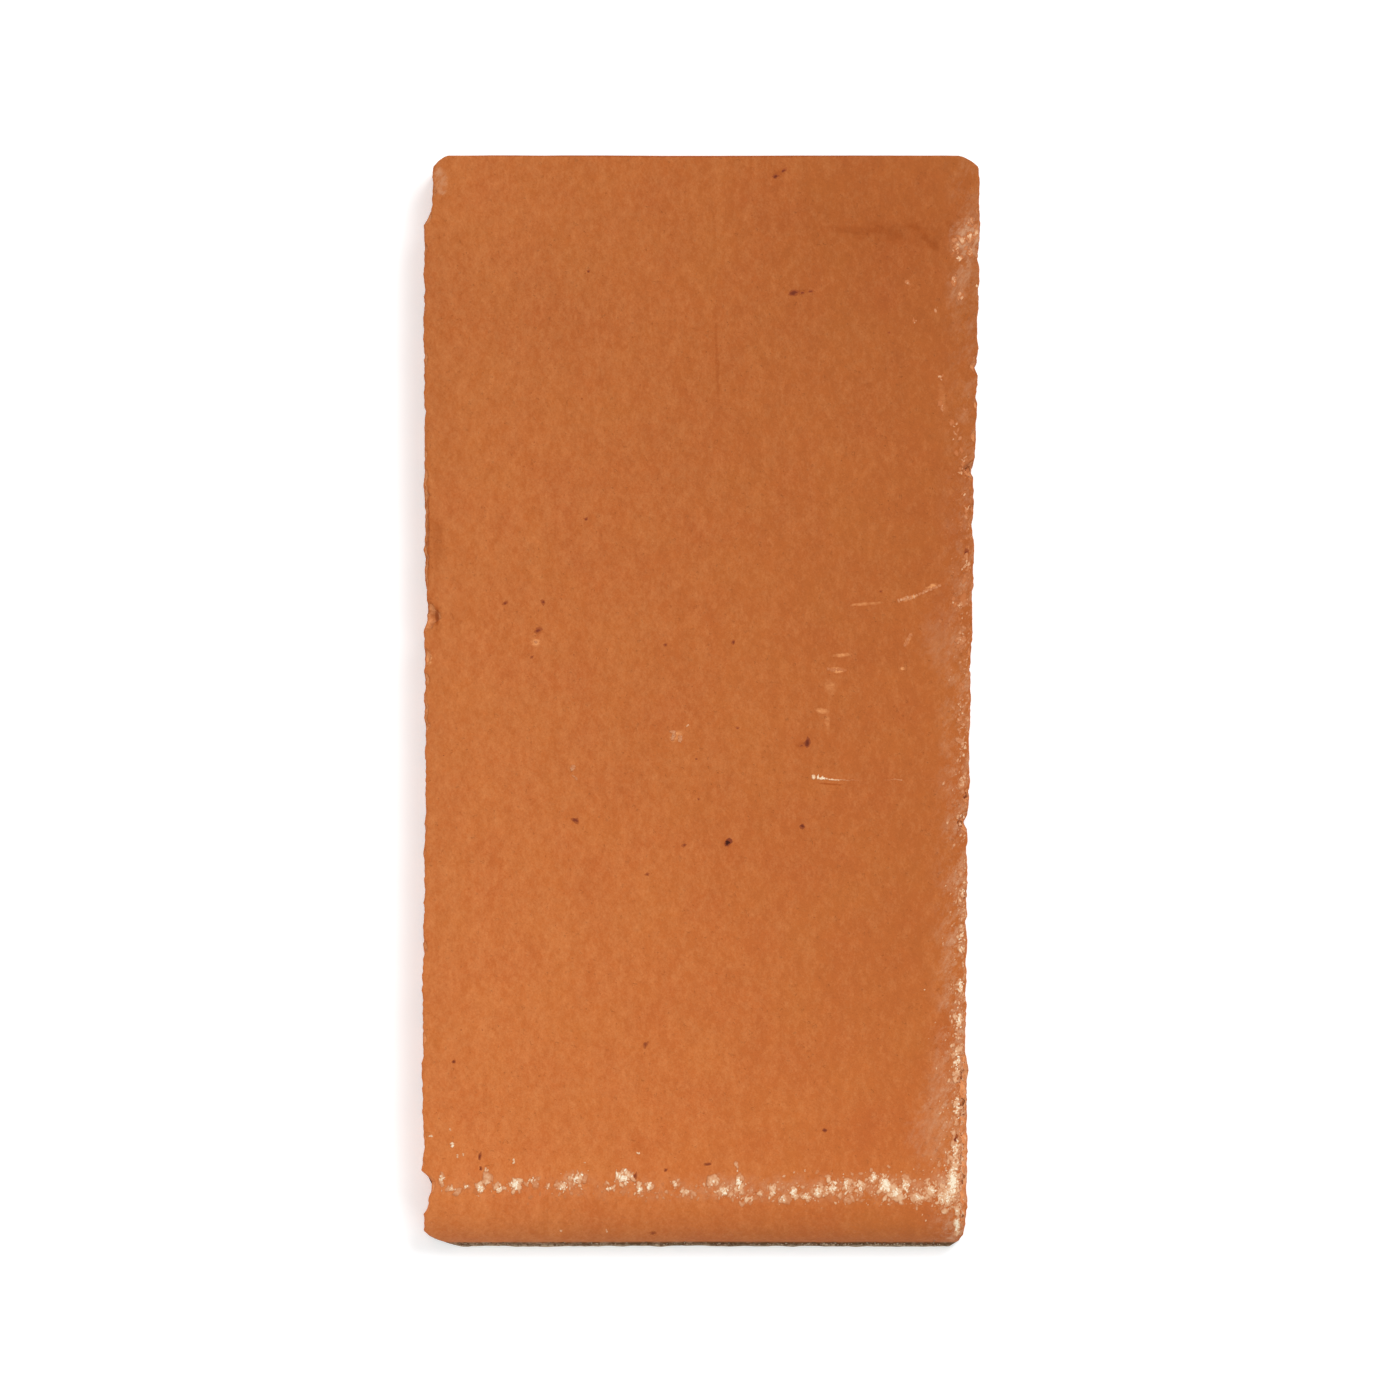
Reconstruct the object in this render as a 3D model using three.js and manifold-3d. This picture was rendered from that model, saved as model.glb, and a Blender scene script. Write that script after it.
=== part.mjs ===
// A bullnosed terracotta tile: a bar of fired clay, 150 by 300 mm nominal and 20 mm thick.
//
// The clay leaves the die as a wide flat column. The die gives every section across X: a flat
// wear face on top, a quarter-round nose at one end, a square butt at the other, and keying
// grooves in the bed. A wire then cuts the column at both long sides, which is why those sides
// run a little out of parallel and why their arrises are chipped.
//
// Millimetres. X runs across the tile, Y along it from the nose to the butt, and Z points up
// out of the wear face. The origin is under the middle of the tile, in the plane of its bed.

import * as THREE from "three";
import { mergeVertices } from "three/addons/utils/BufferGeometryUtils.js";
import Module from "manifold-3d";

// The tile
const LENGTH = 300;
const BUTT_WIDTH = 153.6;
const NOSE_WIDTH = 149;
const THICKNESS = 20;

// The nosed end and its foot, and the butt end
const NOSE_RADIUS = 14.6;
const FOOT_REACH = 1.2; // how far the foot stands out past the nose
const FOOT_HEIGHT = 2.2;
const BUTT_EASE = 1.2; // radius of the eased top edge

// Keying grooves along X in the bed
const GROOVE_COUNT = 10;
const GROOVE_PITCH = 24;
const GROOVE_WIDTH = 11;
const GROOVE_DEPTH = 1.8;
const GROOVE_FLARE = 0.9; // how much wider the roof is than the mouth on each side

// Corners in plan: how far each one takes off across X and along Y
const BUTT_LEFT_CORNER = { across: 3.8, along: 3.8 };
const BUTT_RIGHT_CORNER = { across: 6.4, along: 4.2 };
const NOSE_LEFT_CORNER = { across: 6.6, along: 5.8 };
const NOSE_RIGHT_CORNER = { across: 3.4, along: 5.4 };

// The left side is set back from the butt as far as a short step, and has one notch near the nose
const LEFT_SET_BACK = { stepFrom: 133.6, stepTo: 131.4, depth: 2.1 };
const LEFT_NOTCH = { at: -133.4, length: 9, depth: 2.4 };

// Chips out of the top arris of the long sides: side is -1 on the left and +1 on the right
const CHIPS = [
  { side: -1, at: 23.2, length: 8.5, reach: 2.2, drop: 3.2 },
  { side: -1, at: 12.5, length: 4.5, reach: 1.5, drop: 2.2 },
  { side: -1, at: 5.5, length: 3.6, reach: 1.2, drop: 1.6 },
  { side: 1, at: 91.6, length: 3.8, reach: 1.3, drop: 2.0 },
  { side: 1, at: 63.2, length: 6.0, reach: 1.9, drop: 3.4 },
  { side: 1, at: 49.0, length: 3.6, reach: 1.2, drop: 1.8 },
  { side: 1, at: -26.8, length: 4.2, reach: 1.6, drop: 2.6 },
  { side: 1, at: -33.6, length: 6.4, reach: 2.1, drop: 3.6 },
  { side: 1, at: -121.0, length: 5.0, reach: 1.6, drop: 3.0 },
];
const CHIP_ROWS = 6;
const CHIP_SIDES = 9;

// The lime crust, a thin mineral skin on the crest of the nose and along the right arris
const CRUST_THICKNESS = 0.3;
const CRUST_CLEARANCE = 0.05;
const CRUST_GAP = 0.3; // between its two pieces
const NOSE_CRUST = { back: -130.6, front: -140.2, wave: 1.3, frontWaves: 9, backWaves: 11, steps: 54 };
const SIDE_CRUST = { back: -58, front: -143.6, breadth: 5.4, inset: 0.9, wave: 1.2, waves: 7, steps: 36 };
const SIDE_CRUST_TAPER = 0.75; // the share of its breadth that it has lost at its back end
const SLOW_WAVE = 0.6; // shares of a crust edge's waver
const QUICK_WAVE = 0.4;

const ARC_STEPS = 14;
const CORNER_STEPS = 5;
const NOTCH_STEPS = 6;
const OVERSHOOT = 5; // how far a cutting prism runs past what it cuts
const WELD_DISTANCE = 0.0001; // points closer than this are one point

// Worked out from the above
const noseY = -LENGTH / 2 + FOOT_REACH;
const buttY = LENGTH / 2;
const crestY = noseY + NOSE_RADIUS;
const leftX = -BUTT_WIDTH / 2;
const sideSlope = (BUTT_WIDTH - NOSE_WIDTH) / LENGTH;

/** The right side's X at a place along the tile. */
function rightX(y) {
  return BUTT_WIDTH / 2 - (buttY - y) * sideSlope;
}

/** The side's X at a place along the tile, on the left (-1) or the right (+1). */
function sideX(side, y) {
  return side < 0 ? leftX : rightX(y);
}

/** A manifold solid from a closed three.js geometry. */
function solidFrom(wasm, geometry) {
  const bare = geometry.clone();
  bare.deleteAttribute("normal");
  bare.deleteAttribute("uv");
  const merged = mergeVertices(bare, WELD_DISTANCE);
  return new wasm.Manifold(
    new wasm.Mesh({
      numProp: 3,
      vertProperties: new Float32Array(merged.attributes.position.array),
      triVerts: new Uint32Array(merged.index.array),
    }),
  );
}

/** A flat-shaded three.js geometry from a manifold solid. */
function geometryFrom(solid) {
  const { vertProperties, triVerts } = solid.getMesh();
  const geometry = new THREE.BufferGeometry();
  geometry.setAttribute("position", new THREE.BufferAttribute(vertProperties, 3));
  geometry.setIndex(new THREE.BufferAttribute(triVerts, 1));
  geometry.computeVertexNormals();
  return geometry;
}

/** A prism along X from a shape drawn in Y and Z. */
function prismAlongX(shape, from, to) {
  const geometry = new THREE.ExtrudeGeometry(shape, { depth: to - from, bevelEnabled: false });
  const across = new THREE.Matrix4().makeBasis(
    new THREE.Vector3(0, 1, 0),
    new THREE.Vector3(0, 0, 1),
    new THREE.Vector3(1, 0, 0),
  );
  return geometry.applyMatrix4(across).translate(from, 0, 0);
}

/** A prism along Z from a shape drawn in X and Y. */
function prismAlongZ(shape, from, to) {
  const geometry = new THREE.ExtrudeGeometry(shape, { depth: to - from, bevelEnabled: false });
  return geometry.translate(0, 0, from);
}

/** Points on an arc in a plane, from one angle to another, both ends included. */
function arcPoints(centre, radius, fromAngle, toAngle, steps) {
  const points = [];
  for (let i = 0; i <= steps; i += 1) {
    const angle = THREE.MathUtils.lerp(fromAngle, toAngle, i / steps);
    points.push(
      new THREE.Vector2(
        centre.x + radius * Math.cos(angle),
        centre.y + radius * Math.sin(angle),
      ),
    );
  }
  return points;
}

/** The nose's surface in Y and Z, lifted outwards, from the crest down to the foot. */
function nosePoints(lift) {
  const centre = new THREE.Vector2(crestY, THICKNESS - NOSE_RADIUS);
  return arcPoints(centre, NOSE_RADIUS + lift, Math.PI / 2, Math.PI, ARC_STEPS);
}

/** The bed from the foot to the butt, in and out of each keying groove. */
function bedPoints() {
  const points = [new THREE.Vector2(-LENGTH / 2, 0)];
  for (let i = 0; i < GROOVE_COUNT; i += 1) {
    const middle = (i - (GROOVE_COUNT - 1) / 2) * GROOVE_PITCH;
    const mouth = GROOVE_WIDTH / 2;
    const roof = mouth + GROOVE_FLARE;
    points.push(
      new THREE.Vector2(middle - mouth, 0),
      new THREE.Vector2(middle - roof, GROOVE_DEPTH),
      new THREE.Vector2(middle + roof, GROOVE_DEPTH),
      new THREE.Vector2(middle + mouth, 0),
    );
  }
  points.push(new THREE.Vector2(buttY, 0));
  return points;
}

/** The section that the die gives the column, in Y and Z. */
function columnSection() {
  const easeCentre = new THREE.Vector2(buttY - BUTT_EASE, THICKNESS - BUTT_EASE);
  const ease = arcPoints(easeCentre, BUTT_EASE, 0, Math.PI / 2, CORNER_STEPS);
  const foot = [
    new THREE.Vector2(noseY, FOOT_HEIGHT + FOOT_REACH),
    new THREE.Vector2(-LENGTH / 2, FOOT_HEIGHT),
  ];
  return new THREE.Shape([...bedPoints(), ...ease, ...nosePoints(0), ...foot]);
}

/** Points that round a corner in plan, from its long side at x to its short side at y. */
function cornerPoints(corner, x, y) {
  const start = new THREE.Vector2(x, y - Math.sign(y) * corner.along);
  const end = new THREE.Vector2(x - Math.sign(x) * corner.across, y);
  const curve = new THREE.QuadraticBezierCurve(start, new THREE.Vector2(x, y), end);
  return curve.getPoints(CORNER_STEPS);
}

/** The left side from the step near the butt to the far end of the notch near the nose. */
function leftSidePoints() {
  const points = [
    new THREE.Vector2(leftX + LEFT_SET_BACK.depth, LEFT_SET_BACK.stepFrom),
    new THREE.Vector2(leftX, LEFT_SET_BACK.stepTo),
  ];
  for (let i = 0; i <= NOTCH_STEPS; i += 1) {
    const share = i / NOTCH_STEPS;
    const x = leftX + LEFT_NOTCH.depth * Math.sin(Math.PI * share);
    points.push(new THREE.Vector2(x, LEFT_NOTCH.at + LEFT_NOTCH.length * (0.5 - share)));
  }
  return points;
}

/** The outline that the wire and the knocks at the corners leave, in X and Y. */
function planOutline() {
  const frontY = -LENGTH / 2;
  return new THREE.Shape([
    ...cornerPoints(NOSE_LEFT_CORNER, leftX, frontY),
    ...cornerPoints(NOSE_RIGHT_CORNER, rightX(frontY), frontY).reverse(),
    ...cornerPoints(BUTT_RIGHT_CORNER, rightX(buttY), buttY),
    ...cornerPoints(BUTT_LEFT_CORNER, leftX + LEFT_SET_BACK.depth, buttY).reverse(),
    ...leftSidePoints(),
  ]);
}

/** The scoop of one chip, centred on the top arris. */
function chipScoop(chip) {
  const scoop = new THREE.SphereGeometry(1, CHIP_SIDES, CHIP_ROWS);
  scoop.scale(chip.reach, chip.length / 2, chip.drop);
  return scoop.translate(sideX(chip.side, chip.at), chip.at, THICKNESS);
}

/** The fired clay, all one piece. */
function tileBody(wasm) {
  const reach = BUTT_WIDTH / 2 + OVERSHOOT;
  const column = solidFrom(wasm, prismAlongX(columnSection(), -reach, reach));
  const plan = solidFrom(wasm, prismAlongZ(planOutline(), -OVERSHOOT, THICKNESS + OVERSHOOT));
  let tile = column.intersect(plan);
  for (const chip of CHIPS) {
    tile = tile.subtract(solidFrom(wasm, chipScoop(chip)));
  }
  return tile;
}

/** A skin over the wear face and the nose, as wide as the tile, clear of the clay. */
function skinOverFace(wasm) {
  const low = CRUST_CLEARANCE;
  const high = CRUST_CLEARANCE + CRUST_THICKNESS;
  const inner = [new THREE.Vector2(buttY, THICKNESS + low), ...nosePoints(low)];
  const outer = [new THREE.Vector2(buttY, THICKNESS + high), ...nosePoints(high)];
  const section = new THREE.Shape([...outer, ...inner.reverse()]);
  return solidFrom(wasm, prismAlongX(section, -BUTT_WIDTH / 2, BUTT_WIDTH / 2));
}

/** A gentle waver of an edge, from 0 at its start and its end. */
function waver(share, waves, height) {
  const slow = Math.sin(Math.PI * waves * share);
  const quick = Math.sin(Math.PI * (2 * waves + 1) * share);
  return height * (SLOW_WAVE * slow + QUICK_WAVE * quick);
}

/** The part of the skin on the crest of the nose. */
function noseCrust(wasm, skin) {
  const { back, front, wave, frontWaves, backWaves, steps } = NOSE_CRUST;
  const left = leftX + LEFT_NOTCH.depth + CRUST_GAP;
  const right = rightX(front) - SIDE_CRUST.inset - SIDE_CRUST.breadth - SIDE_CRUST.wave - CRUST_GAP;
  const points = [];
  for (let i = 0; i <= steps; i += 1) {
    const share = i / steps;
    const x = THREE.MathUtils.lerp(left, right, share);
    points.push(new THREE.Vector2(x, front + waver(share, frontWaves, wave)));
  }
  for (let i = steps; i >= 0; i -= 1) {
    const share = i / steps;
    const x = THREE.MathUtils.lerp(left, right, share);
    points.push(new THREE.Vector2(x, back - waver(share, backWaves, wave)));
  }
  return skin.intersect(solidFrom(wasm, prismAlongZ(new THREE.Shape(points), 0, THICKNESS + OVERSHOOT)));
}

/** The part of the skin along the right arris, tapering away towards the butt. */
function sideCrust(wasm, skin) {
  const { back, front, breadth, inset, wave, waves, steps } = SIDE_CRUST;
  const points = [];
  for (let i = 0; i <= steps; i += 1) {
    const y = THREE.MathUtils.lerp(front, back, i / steps);
    points.push(new THREE.Vector2(rightX(y) - inset, y));
  }
  for (let i = steps; i >= 0; i -= 1) {
    const share = i / steps;
    const y = THREE.MathUtils.lerp(front, back, share);
    const taper = 1 - SIDE_CRUST_TAPER * share;
    const x = rightX(y) - inset - breadth * taper + waver(share, waves, wave) * taper;
    points.push(new THREE.Vector2(x, y));
  }
  const chips = CHIPS.filter((chip) => chip.side > 0 && chip.at < back && chip.at > front);
  let crust = skin.intersect(
    solidFrom(wasm, prismAlongZ(new THREE.Shape(points), 0, THICKNESS + OVERSHOOT)),
  );
  for (const chip of chips) {
    crust = crust.subtract(solidFrom(wasm, chipScoop(chip)));
  }
  return crust;
}

/** Fired clay: matte, open-grained, orange. */
function clayMaterial() {
  return new THREE.MeshStandardMaterial({ color: 0xc46f3a, roughness: 0.92, metalness: 0 });
}

/** Lime: chalky and off-white. */
function limeMaterial() {
  return new THREE.MeshStandardMaterial({ color: 0xe9d9c4, roughness: 0.97, metalness: 0 });
}

/** A named mesh from a solid. */
function pieceFrom(name, solid, material) {
  const mesh = new THREE.Mesh(geometryFrom(solid), material);
  mesh.name = name;
  return mesh;
}

const wasm = await Module();
wasm.setup();

const skin = skinOverFace(wasm);
const group = new THREE.Group();
group.add(
  pieceFrom("tile_body", tileBody(wasm), clayMaterial()),
  pieceFrom("lime_crust_nose", noseCrust(wasm, skin), limeMaterial()),
  pieceFrom("lime_crust_side", sideCrust(wasm, skin), limeMaterial()),
);

export default group;
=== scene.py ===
"""A bullnosed terracotta tile with lime on its nose, lying on a white table in soft light.

Lengths are millimetres in the frame that the CAD uses: X across the tile, Y along it from the
nose to the butt, Z up out of the wear face. Meshes and lights are written in metres at the end.
"""

import math

import bpy
import numpy as np
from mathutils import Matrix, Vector
from mathutils.bvhtree import BVHTree


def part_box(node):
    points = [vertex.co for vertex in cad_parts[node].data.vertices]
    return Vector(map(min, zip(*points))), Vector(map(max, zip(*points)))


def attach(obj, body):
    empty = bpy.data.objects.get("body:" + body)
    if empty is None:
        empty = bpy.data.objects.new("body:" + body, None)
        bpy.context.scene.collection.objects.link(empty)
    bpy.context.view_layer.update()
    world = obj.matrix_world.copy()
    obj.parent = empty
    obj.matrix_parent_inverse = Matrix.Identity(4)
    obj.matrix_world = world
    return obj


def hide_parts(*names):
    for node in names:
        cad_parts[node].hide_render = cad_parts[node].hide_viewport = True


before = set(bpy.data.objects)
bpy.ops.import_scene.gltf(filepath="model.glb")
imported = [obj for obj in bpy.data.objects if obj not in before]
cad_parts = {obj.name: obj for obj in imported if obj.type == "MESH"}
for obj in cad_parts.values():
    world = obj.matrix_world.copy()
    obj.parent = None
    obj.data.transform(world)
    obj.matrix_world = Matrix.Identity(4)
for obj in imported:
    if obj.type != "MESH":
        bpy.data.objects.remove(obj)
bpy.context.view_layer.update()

MM = 0.001

# The tile's envelope, from its CAD solid
tile_low, tile_high = (np.array(corner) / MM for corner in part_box("tile_body"))
LEFT, FRONT, BED = tile_low
RIGHT, BUTT, TOP = tile_high
NOSE_END_WIDTH = 149.0
SIDE_SLOPE = (RIGHT - LEFT - NOSE_END_WIDTH) / (BUTT - FRONT)

# The section: the bullnose, its foot, the eased butt edge and the keying grooves in the bed
NOSE_RADIUS = 14.6
FOOT_REACH = 1.2
FOOT_HEIGHT = 2.2
FOOT_SET_BACK = 0.4
BUTT_EASE = 1.2
GROOVE_COUNT = 10
GROOVE_PITCH = 24.0
GROOVE_MOUTH = 5.5
GROOVE_ROOF = 6.4
GROOVE_DEPTH = 1.8
GROOVE_SHOULDER = 7.2
GROOVE_KNOTS = (-GROOVE_SHOULDER, -GROOVE_ROOF, GROOVE_ROOF, GROOVE_SHOULDER)
NOSE_Y = FRONT + FOOT_REACH
CREST_Y = NOSE_Y + NOSE_RADIUS
NOSE_CENTRE_Z = TOP - NOSE_RADIUS
NOSE_CENTRE = (CREST_Y, NOSE_CENTRE_Z)
BUTT_CENTRE = (BUTT - BUTT_EASE, TOP - BUTT_EASE)
HALF_TURN = math.pi
QUARTER_TURN = math.pi / 2
EIGHTH_TURN = math.pi / 4

# The grid over the clay: steps from an edge inwards, and how they grow
EDGE_STEP = 0.28
EDGE_GROWTH = 1.12
EDGE_COLUMNS = 14
MIDDLE_COLUMNS = 69
BED_SKIP = 4
ARC_STEP = 0.6
FLAT_STEP = 0.62
EASE_STEPS = 4
TOP_ROW_STEP = 0.3
TOP_ROW_GROWTH = 1.1
TOP_ROWS = 17
BED_ROW_STEPS = (1.2, 1.1, 0.9, 0.7, 0.6, 0.5, 0.5, 0.5, 0.4, 0.4)
NOSE_BLEND = 14.0
BUTT_BLEND = 3.0
PROFILE_ARC_POINTS = 40

# How far the long sides stand in from the straight, from the butt to the nose: (y, inset)
LEFT_LINE = (
    (150.0, 2.4), (147.0, 2.9), (140.0, 3.2), (134.4, 3.0), (132.6, 1.8), (131.2, 1.0), (126.0, 0.8),
    (110.0, 0.9), (80.0, 1.1), (60.0, 1.1), (34.0, 1.2), (29.0, 1.9), (22.0, 1.9), (18.6, 0.9),
    (14.0, 1.3), (6.0, 1.2), (0.0, 1.2), (-40.0, 1.4), (-70.0, 0.8), (-88.0, 0.6), (-110.0, 0.7),
    (-124.0, 0.8), (-129.3, 0.5), (-131.2, 2.5), (-132.8, 3.3), (-134.6, 3.1), (-137.8, 2.5), (-139.6, 2.0),
    (-141.4, 1.0), (-150.0, 1.1),
)
RIGHT_LINE = (
    (150.0, 0.0), (130.0, -0.3), (110.0, -0.3), (93.5, -0.2), (91.6, 0.3), (89.8, -0.3), (82.0, -0.2),
    (66.0, 0.0), (64.4, 0.5), (62.6, 0.9), (61.4, 0.1), (50.4, 0.0), (49.0, 0.4), (47.6, 0.1), (16.0, 0.2),
    (-22.0, 0.3), (-26.0, 0.6), (-28.0, 0.3), (-32.0, 0.5), (-33.6, 1.3), (-35.6, 0.5), (-77.0, 0.3),
    (-97.0, 0.4), (-102.0, -0.4), (-127.0, -0.7), (-143.0, -0.5), (-150.0, -0.3),
)

# Corners in plan: how far each takes off across X and along Y, and how tightly it hugs the corner
CORNERS = {
    ("left", "front"): (9.6, 4.6, 2.0),
    ("right", "front"): (3.4, 3.8, 1.7),
    ("left", "butt"): (4.6, 3.8, 1.7),
    ("right", "butt"): (5.0, 3.6, 1.5),
}

# Chips out of the top arris: (side, y, length, reach, drop)
LEFT_SIDE, RIGHT_SIDE = -1, 1
CHIPS = (
    (LEFT_SIDE, 132.4, 3.2, 1.2, 2.0),
    (LEFT_SIDE, 47.0, 34.0, 0.9, 1.6),
    (LEFT_SIDE, 22.6, 7.2, 3.0, 2.6),
    (LEFT_SIDE, 11.6, 4.8, 1.5, 1.8),
    (LEFT_SIDE, 5.5, 3.6, 1.2, 1.6),
    (LEFT_SIDE, -2.0, 9.0, 0.9, 1.4),
    (LEFT_SIDE, -133.6, 5.0, 0.8, 3.0),
    (RIGHT_SIDE, 91.6, 3.8, 1.3, 2.0),
    (RIGHT_SIDE, 63.2, 4.6, 1.9, 3.4),
    (RIGHT_SIDE, 49.0, 3.6, 1.2, 1.8),
    (RIGHT_SIDE, -26.8, 4.2, 1.6, 2.6),
    (RIGHT_SIDE, -33.6, 5.4, 2.1, 3.6),
    (RIGHT_SIDE, -121.0, 48.0, 1.9, 3.2),
)
SMALL_CHIPS = 46
SMALL_CHIP_LENGTH = (1.6, 4.6)
SMALL_CHIP_REACH = (0.45, 1.15)
SMALL_CHIP_STEEPNESS = (1.0, 2.0)
SMALL_CHIP_FREE_NOSE = 12.0
SMALL_CHIP_FREE_BUTT = 8.0
LONG_CHIP = 20.0
LONG_CHIP_POWER = 8
SHORT_CHIP_POWER = 2
CHIP_WOBBLE = 0.25
CHIP_WOBBLE_SIZE = 1.3
BROKEN_DEPTH = 0.8
ARRIS_RADIUS = 0.55
ARRIS_VARIATION = 0.3
ARRIS_VARIATION_SIZE = 5.0
SCOOP_FROM = 0.6
SCOOP_SPAN = 0.7
TINY = 1e-6

# The unevenness of the surfaces, in layers of noise: (size, height, offset)
CUT_WAVES = ((4.2, 0.26, 0.0), (1.7, 0.16, 5.0), (0.9, 0.12, 9.0))
WIRE_STRANDS = ((1.1, 0.16, 2.0),)
CUT_GRAIN = ((1.6, 0.1, 3.0),)
SKIN_WAVES = ((34.0, 0.11, 2.0), (11.0, 0.05, 7.0), (3.2, 0.022, 12.0))
BROKEN_GRAIN = ((1.5, 0.16, 21.0), (0.8, 0.1, 25.0))
BROKEN_EDGE_GRAIN = ((1.3, 0.2, 51.0),)
FOOT_RIPPLE = ((3.6, 0.24, 40.0),)
FOOT_GRAIN = ((1.1, 0.12, 43.0),)
FOOT_GRAIN_SINK = 0.05
WIRE_LEAN = 0.06
WIRE_DRAW = 0.12
LEFT_OFFSET = 0.0
RIGHT_OFFSET = 31.0
LEAST_INSET = {"left": 0.02, "right": -1.3}
FOOT_LEDGE_LENGTH = 6.0
FOOT_LEDGE_TOP = FOOT_HEIGHT + 1.4
FOOT_LEDGE_FADE = 1.2
FOOT_ROUGH_TOP = FOOT_HEIGHT + 1.6
FOOT_ROUGH_FADE = 0.8
FOOT_ROUGH_LENGTH = 2.5
MOST_PAST_FRONT = 0.6
MOST_PAST_BUTT = 0.4



# ---------------------------------------------------------------- noise

NOISE_SIZE = 64
NOISE_VALUES = np.random.default_rng(11).uniform(-1, 1, (NOISE_SIZE,) * 3)


def eased(share):
    """A share from 0 to 1, levelled off at both ends."""
    return share * share * (3 - 2 * share)


def noise(points, size, offset=0.0):
    """Smooth noise from -1 to 1 over points, with lumps about that size in millimetres."""
    scaled = points / size + offset
    cell = np.floor(scaled).astype(int)
    part = scaled - cell
    part = eased(part)
    total = np.zeros(len(points))
    for corner in np.ndindex(2, 2, 2):
        weight = np.prod(np.where(corner, part, 1 - part), axis=1)
        i, j, k = ((cell + corner) % NOISE_SIZE).T
        total += weight * NOISE_VALUES[i, j, k]
    return total


def line_noise(y, size, offset=0.0):
    """Noise that varies along Y alone."""
    return noise(np.column_stack([np.zeros_like(y), y, np.zeros_like(y)]), size, offset)


def layered(points, waves, offset=0.0):
    """The sum of several layers of noise."""
    return sum(height * noise(points, size, offset + shift) for size, height, shift in waves)


# ---------------------------------------------------------------- the clay's grid


def growing(step, growth, count):
    """Distances from an edge that start at a step and grow."""
    return step * (growth ** np.arange(count) - 1) / (growth - 1)


def column_shares():
    """Where the grid's columns stand across the tile, from 0 to 1, closest together at the sides."""
    width = RIGHT - LEFT
    edge = growing(EDGE_STEP, EDGE_GROWTH, EDGE_COLUMNS)
    middle = np.linspace(edge[-1], width - edge[-1], MIDDLE_COLUMNS + 2)[1:-1]
    return np.concatenate([edge, middle, (width - edge)[::-1]]) / width


def row_shares():
    """Where the grid's rows stand up the sides, from 0 at the bed to 1 at the top."""
    top_steps = TOP_ROW_STEP * TOP_ROW_GROWTH ** np.arange(TOP_ROWS)
    down = np.concatenate([[0.0], np.cumsum(np.concatenate([top_steps, BED_ROW_STEPS]))])
    return (1 - down / down[-1])[::-1]


def arc_points(centre, radius, start, stop, count):
    """Evenly spaced points of an arc."""
    angle = np.linspace(start, stop, count)
    return np.column_stack([centre[0] + radius * np.cos(angle), centre[1] + radius * np.sin(angle)])


def top_chain():
    """Y and Z along the top, from half way up the nose's arc to half way round the butt's ease."""
    arc_count = round(NOSE_RADIUS * EIGHTH_TURN / ARC_STEP)
    nose = arc_points(NOSE_CENTRE, NOSE_RADIUS, 3 * EIGHTH_TURN, QUARTER_TURN, arc_count + 1)[:-1]
    ease_start = BUTT_CENTRE[0]
    flat_y = np.linspace(CREST_Y, ease_start, round((ease_start - CREST_Y) / FLAT_STEP) + 1)
    flat = np.column_stack([flat_y, np.full_like(flat_y, TOP)])
    ease = arc_points(BUTT_CENTRE, BUTT_EASE, QUARTER_TURN, EIGHTH_TURN, EASE_STEPS + 1)[1:]
    return np.concatenate([nose, flat, ease])


def profile_points(corners, curve, shares):
    """Points at even shares of the length of some straight lines followed by a curve."""
    path = np.concatenate([corners, curve])
    along = np.concatenate([[0], np.cumsum(np.linalg.norm(np.diff(path, axis=0), axis=1))])
    return np.column_stack([np.interp(shares * along[-1], along, path[:, i]) for i in range(2)])


def front_profile(shares):
    """Y and Z up the nosed end, from the bed to half way up the arc."""
    corners = [(FRONT, BED), (FRONT, BED + FOOT_HEIGHT), (NOSE_Y, BED + FOOT_HEIGHT + FOOT_REACH)]
    curve = arc_points(NOSE_CENTRE, NOSE_RADIUS, HALF_TURN, 3 * EIGHTH_TURN, PROFILE_ARC_POINTS)
    return profile_points(corners, curve, shares)


def butt_profile(shares):
    """Y and Z up the butt end, from the bed to half way round the ease."""
    curve = arc_points(BUTT_CENTRE, BUTT_EASE, 0, EIGHTH_TURN, PROFILE_ARC_POINTS)
    return profile_points([(BUTT, BED)], curve, shares)


def groove_middles():
    """Y of the middle of each keying groove."""
    return [(i - (GROOVE_COUNT - 1) / 2) * GROOVE_PITCH for i in range(GROOVE_COUNT)]


def bed_chain(top_y):
    """Y and Z of the bed under each column of the top: in and out of every keying groove."""
    over, under, height = [top_y[0]], [FRONT], [BED]
    for middle in groove_middles():
        over += [middle + knot for knot in GROOVE_KNOTS]
        under += [middle - GROOVE_MOUTH, middle - GROOVE_ROOF, middle + GROOVE_ROOF, middle + GROOVE_MOUTH]
        height += [BED, BED + GROOVE_DEPTH, BED + GROOVE_DEPTH, BED]
    over.append(top_y[-1])
    under.append(BUTT)
    height.append(BED)
    return np.interp(top_y, over, under), np.interp(top_y, over, height)


def snap_to_grooves(chain):
    """The top chain with its nearest points moved onto the grooves' corners."""
    for middle in groove_middles():
        for knot in GROOVE_KNOTS:
            nearest = np.argmin(np.abs(chain[:, 0] - middle - knot))
            chain[nearest, 0] = middle + knot
    return chain


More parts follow.
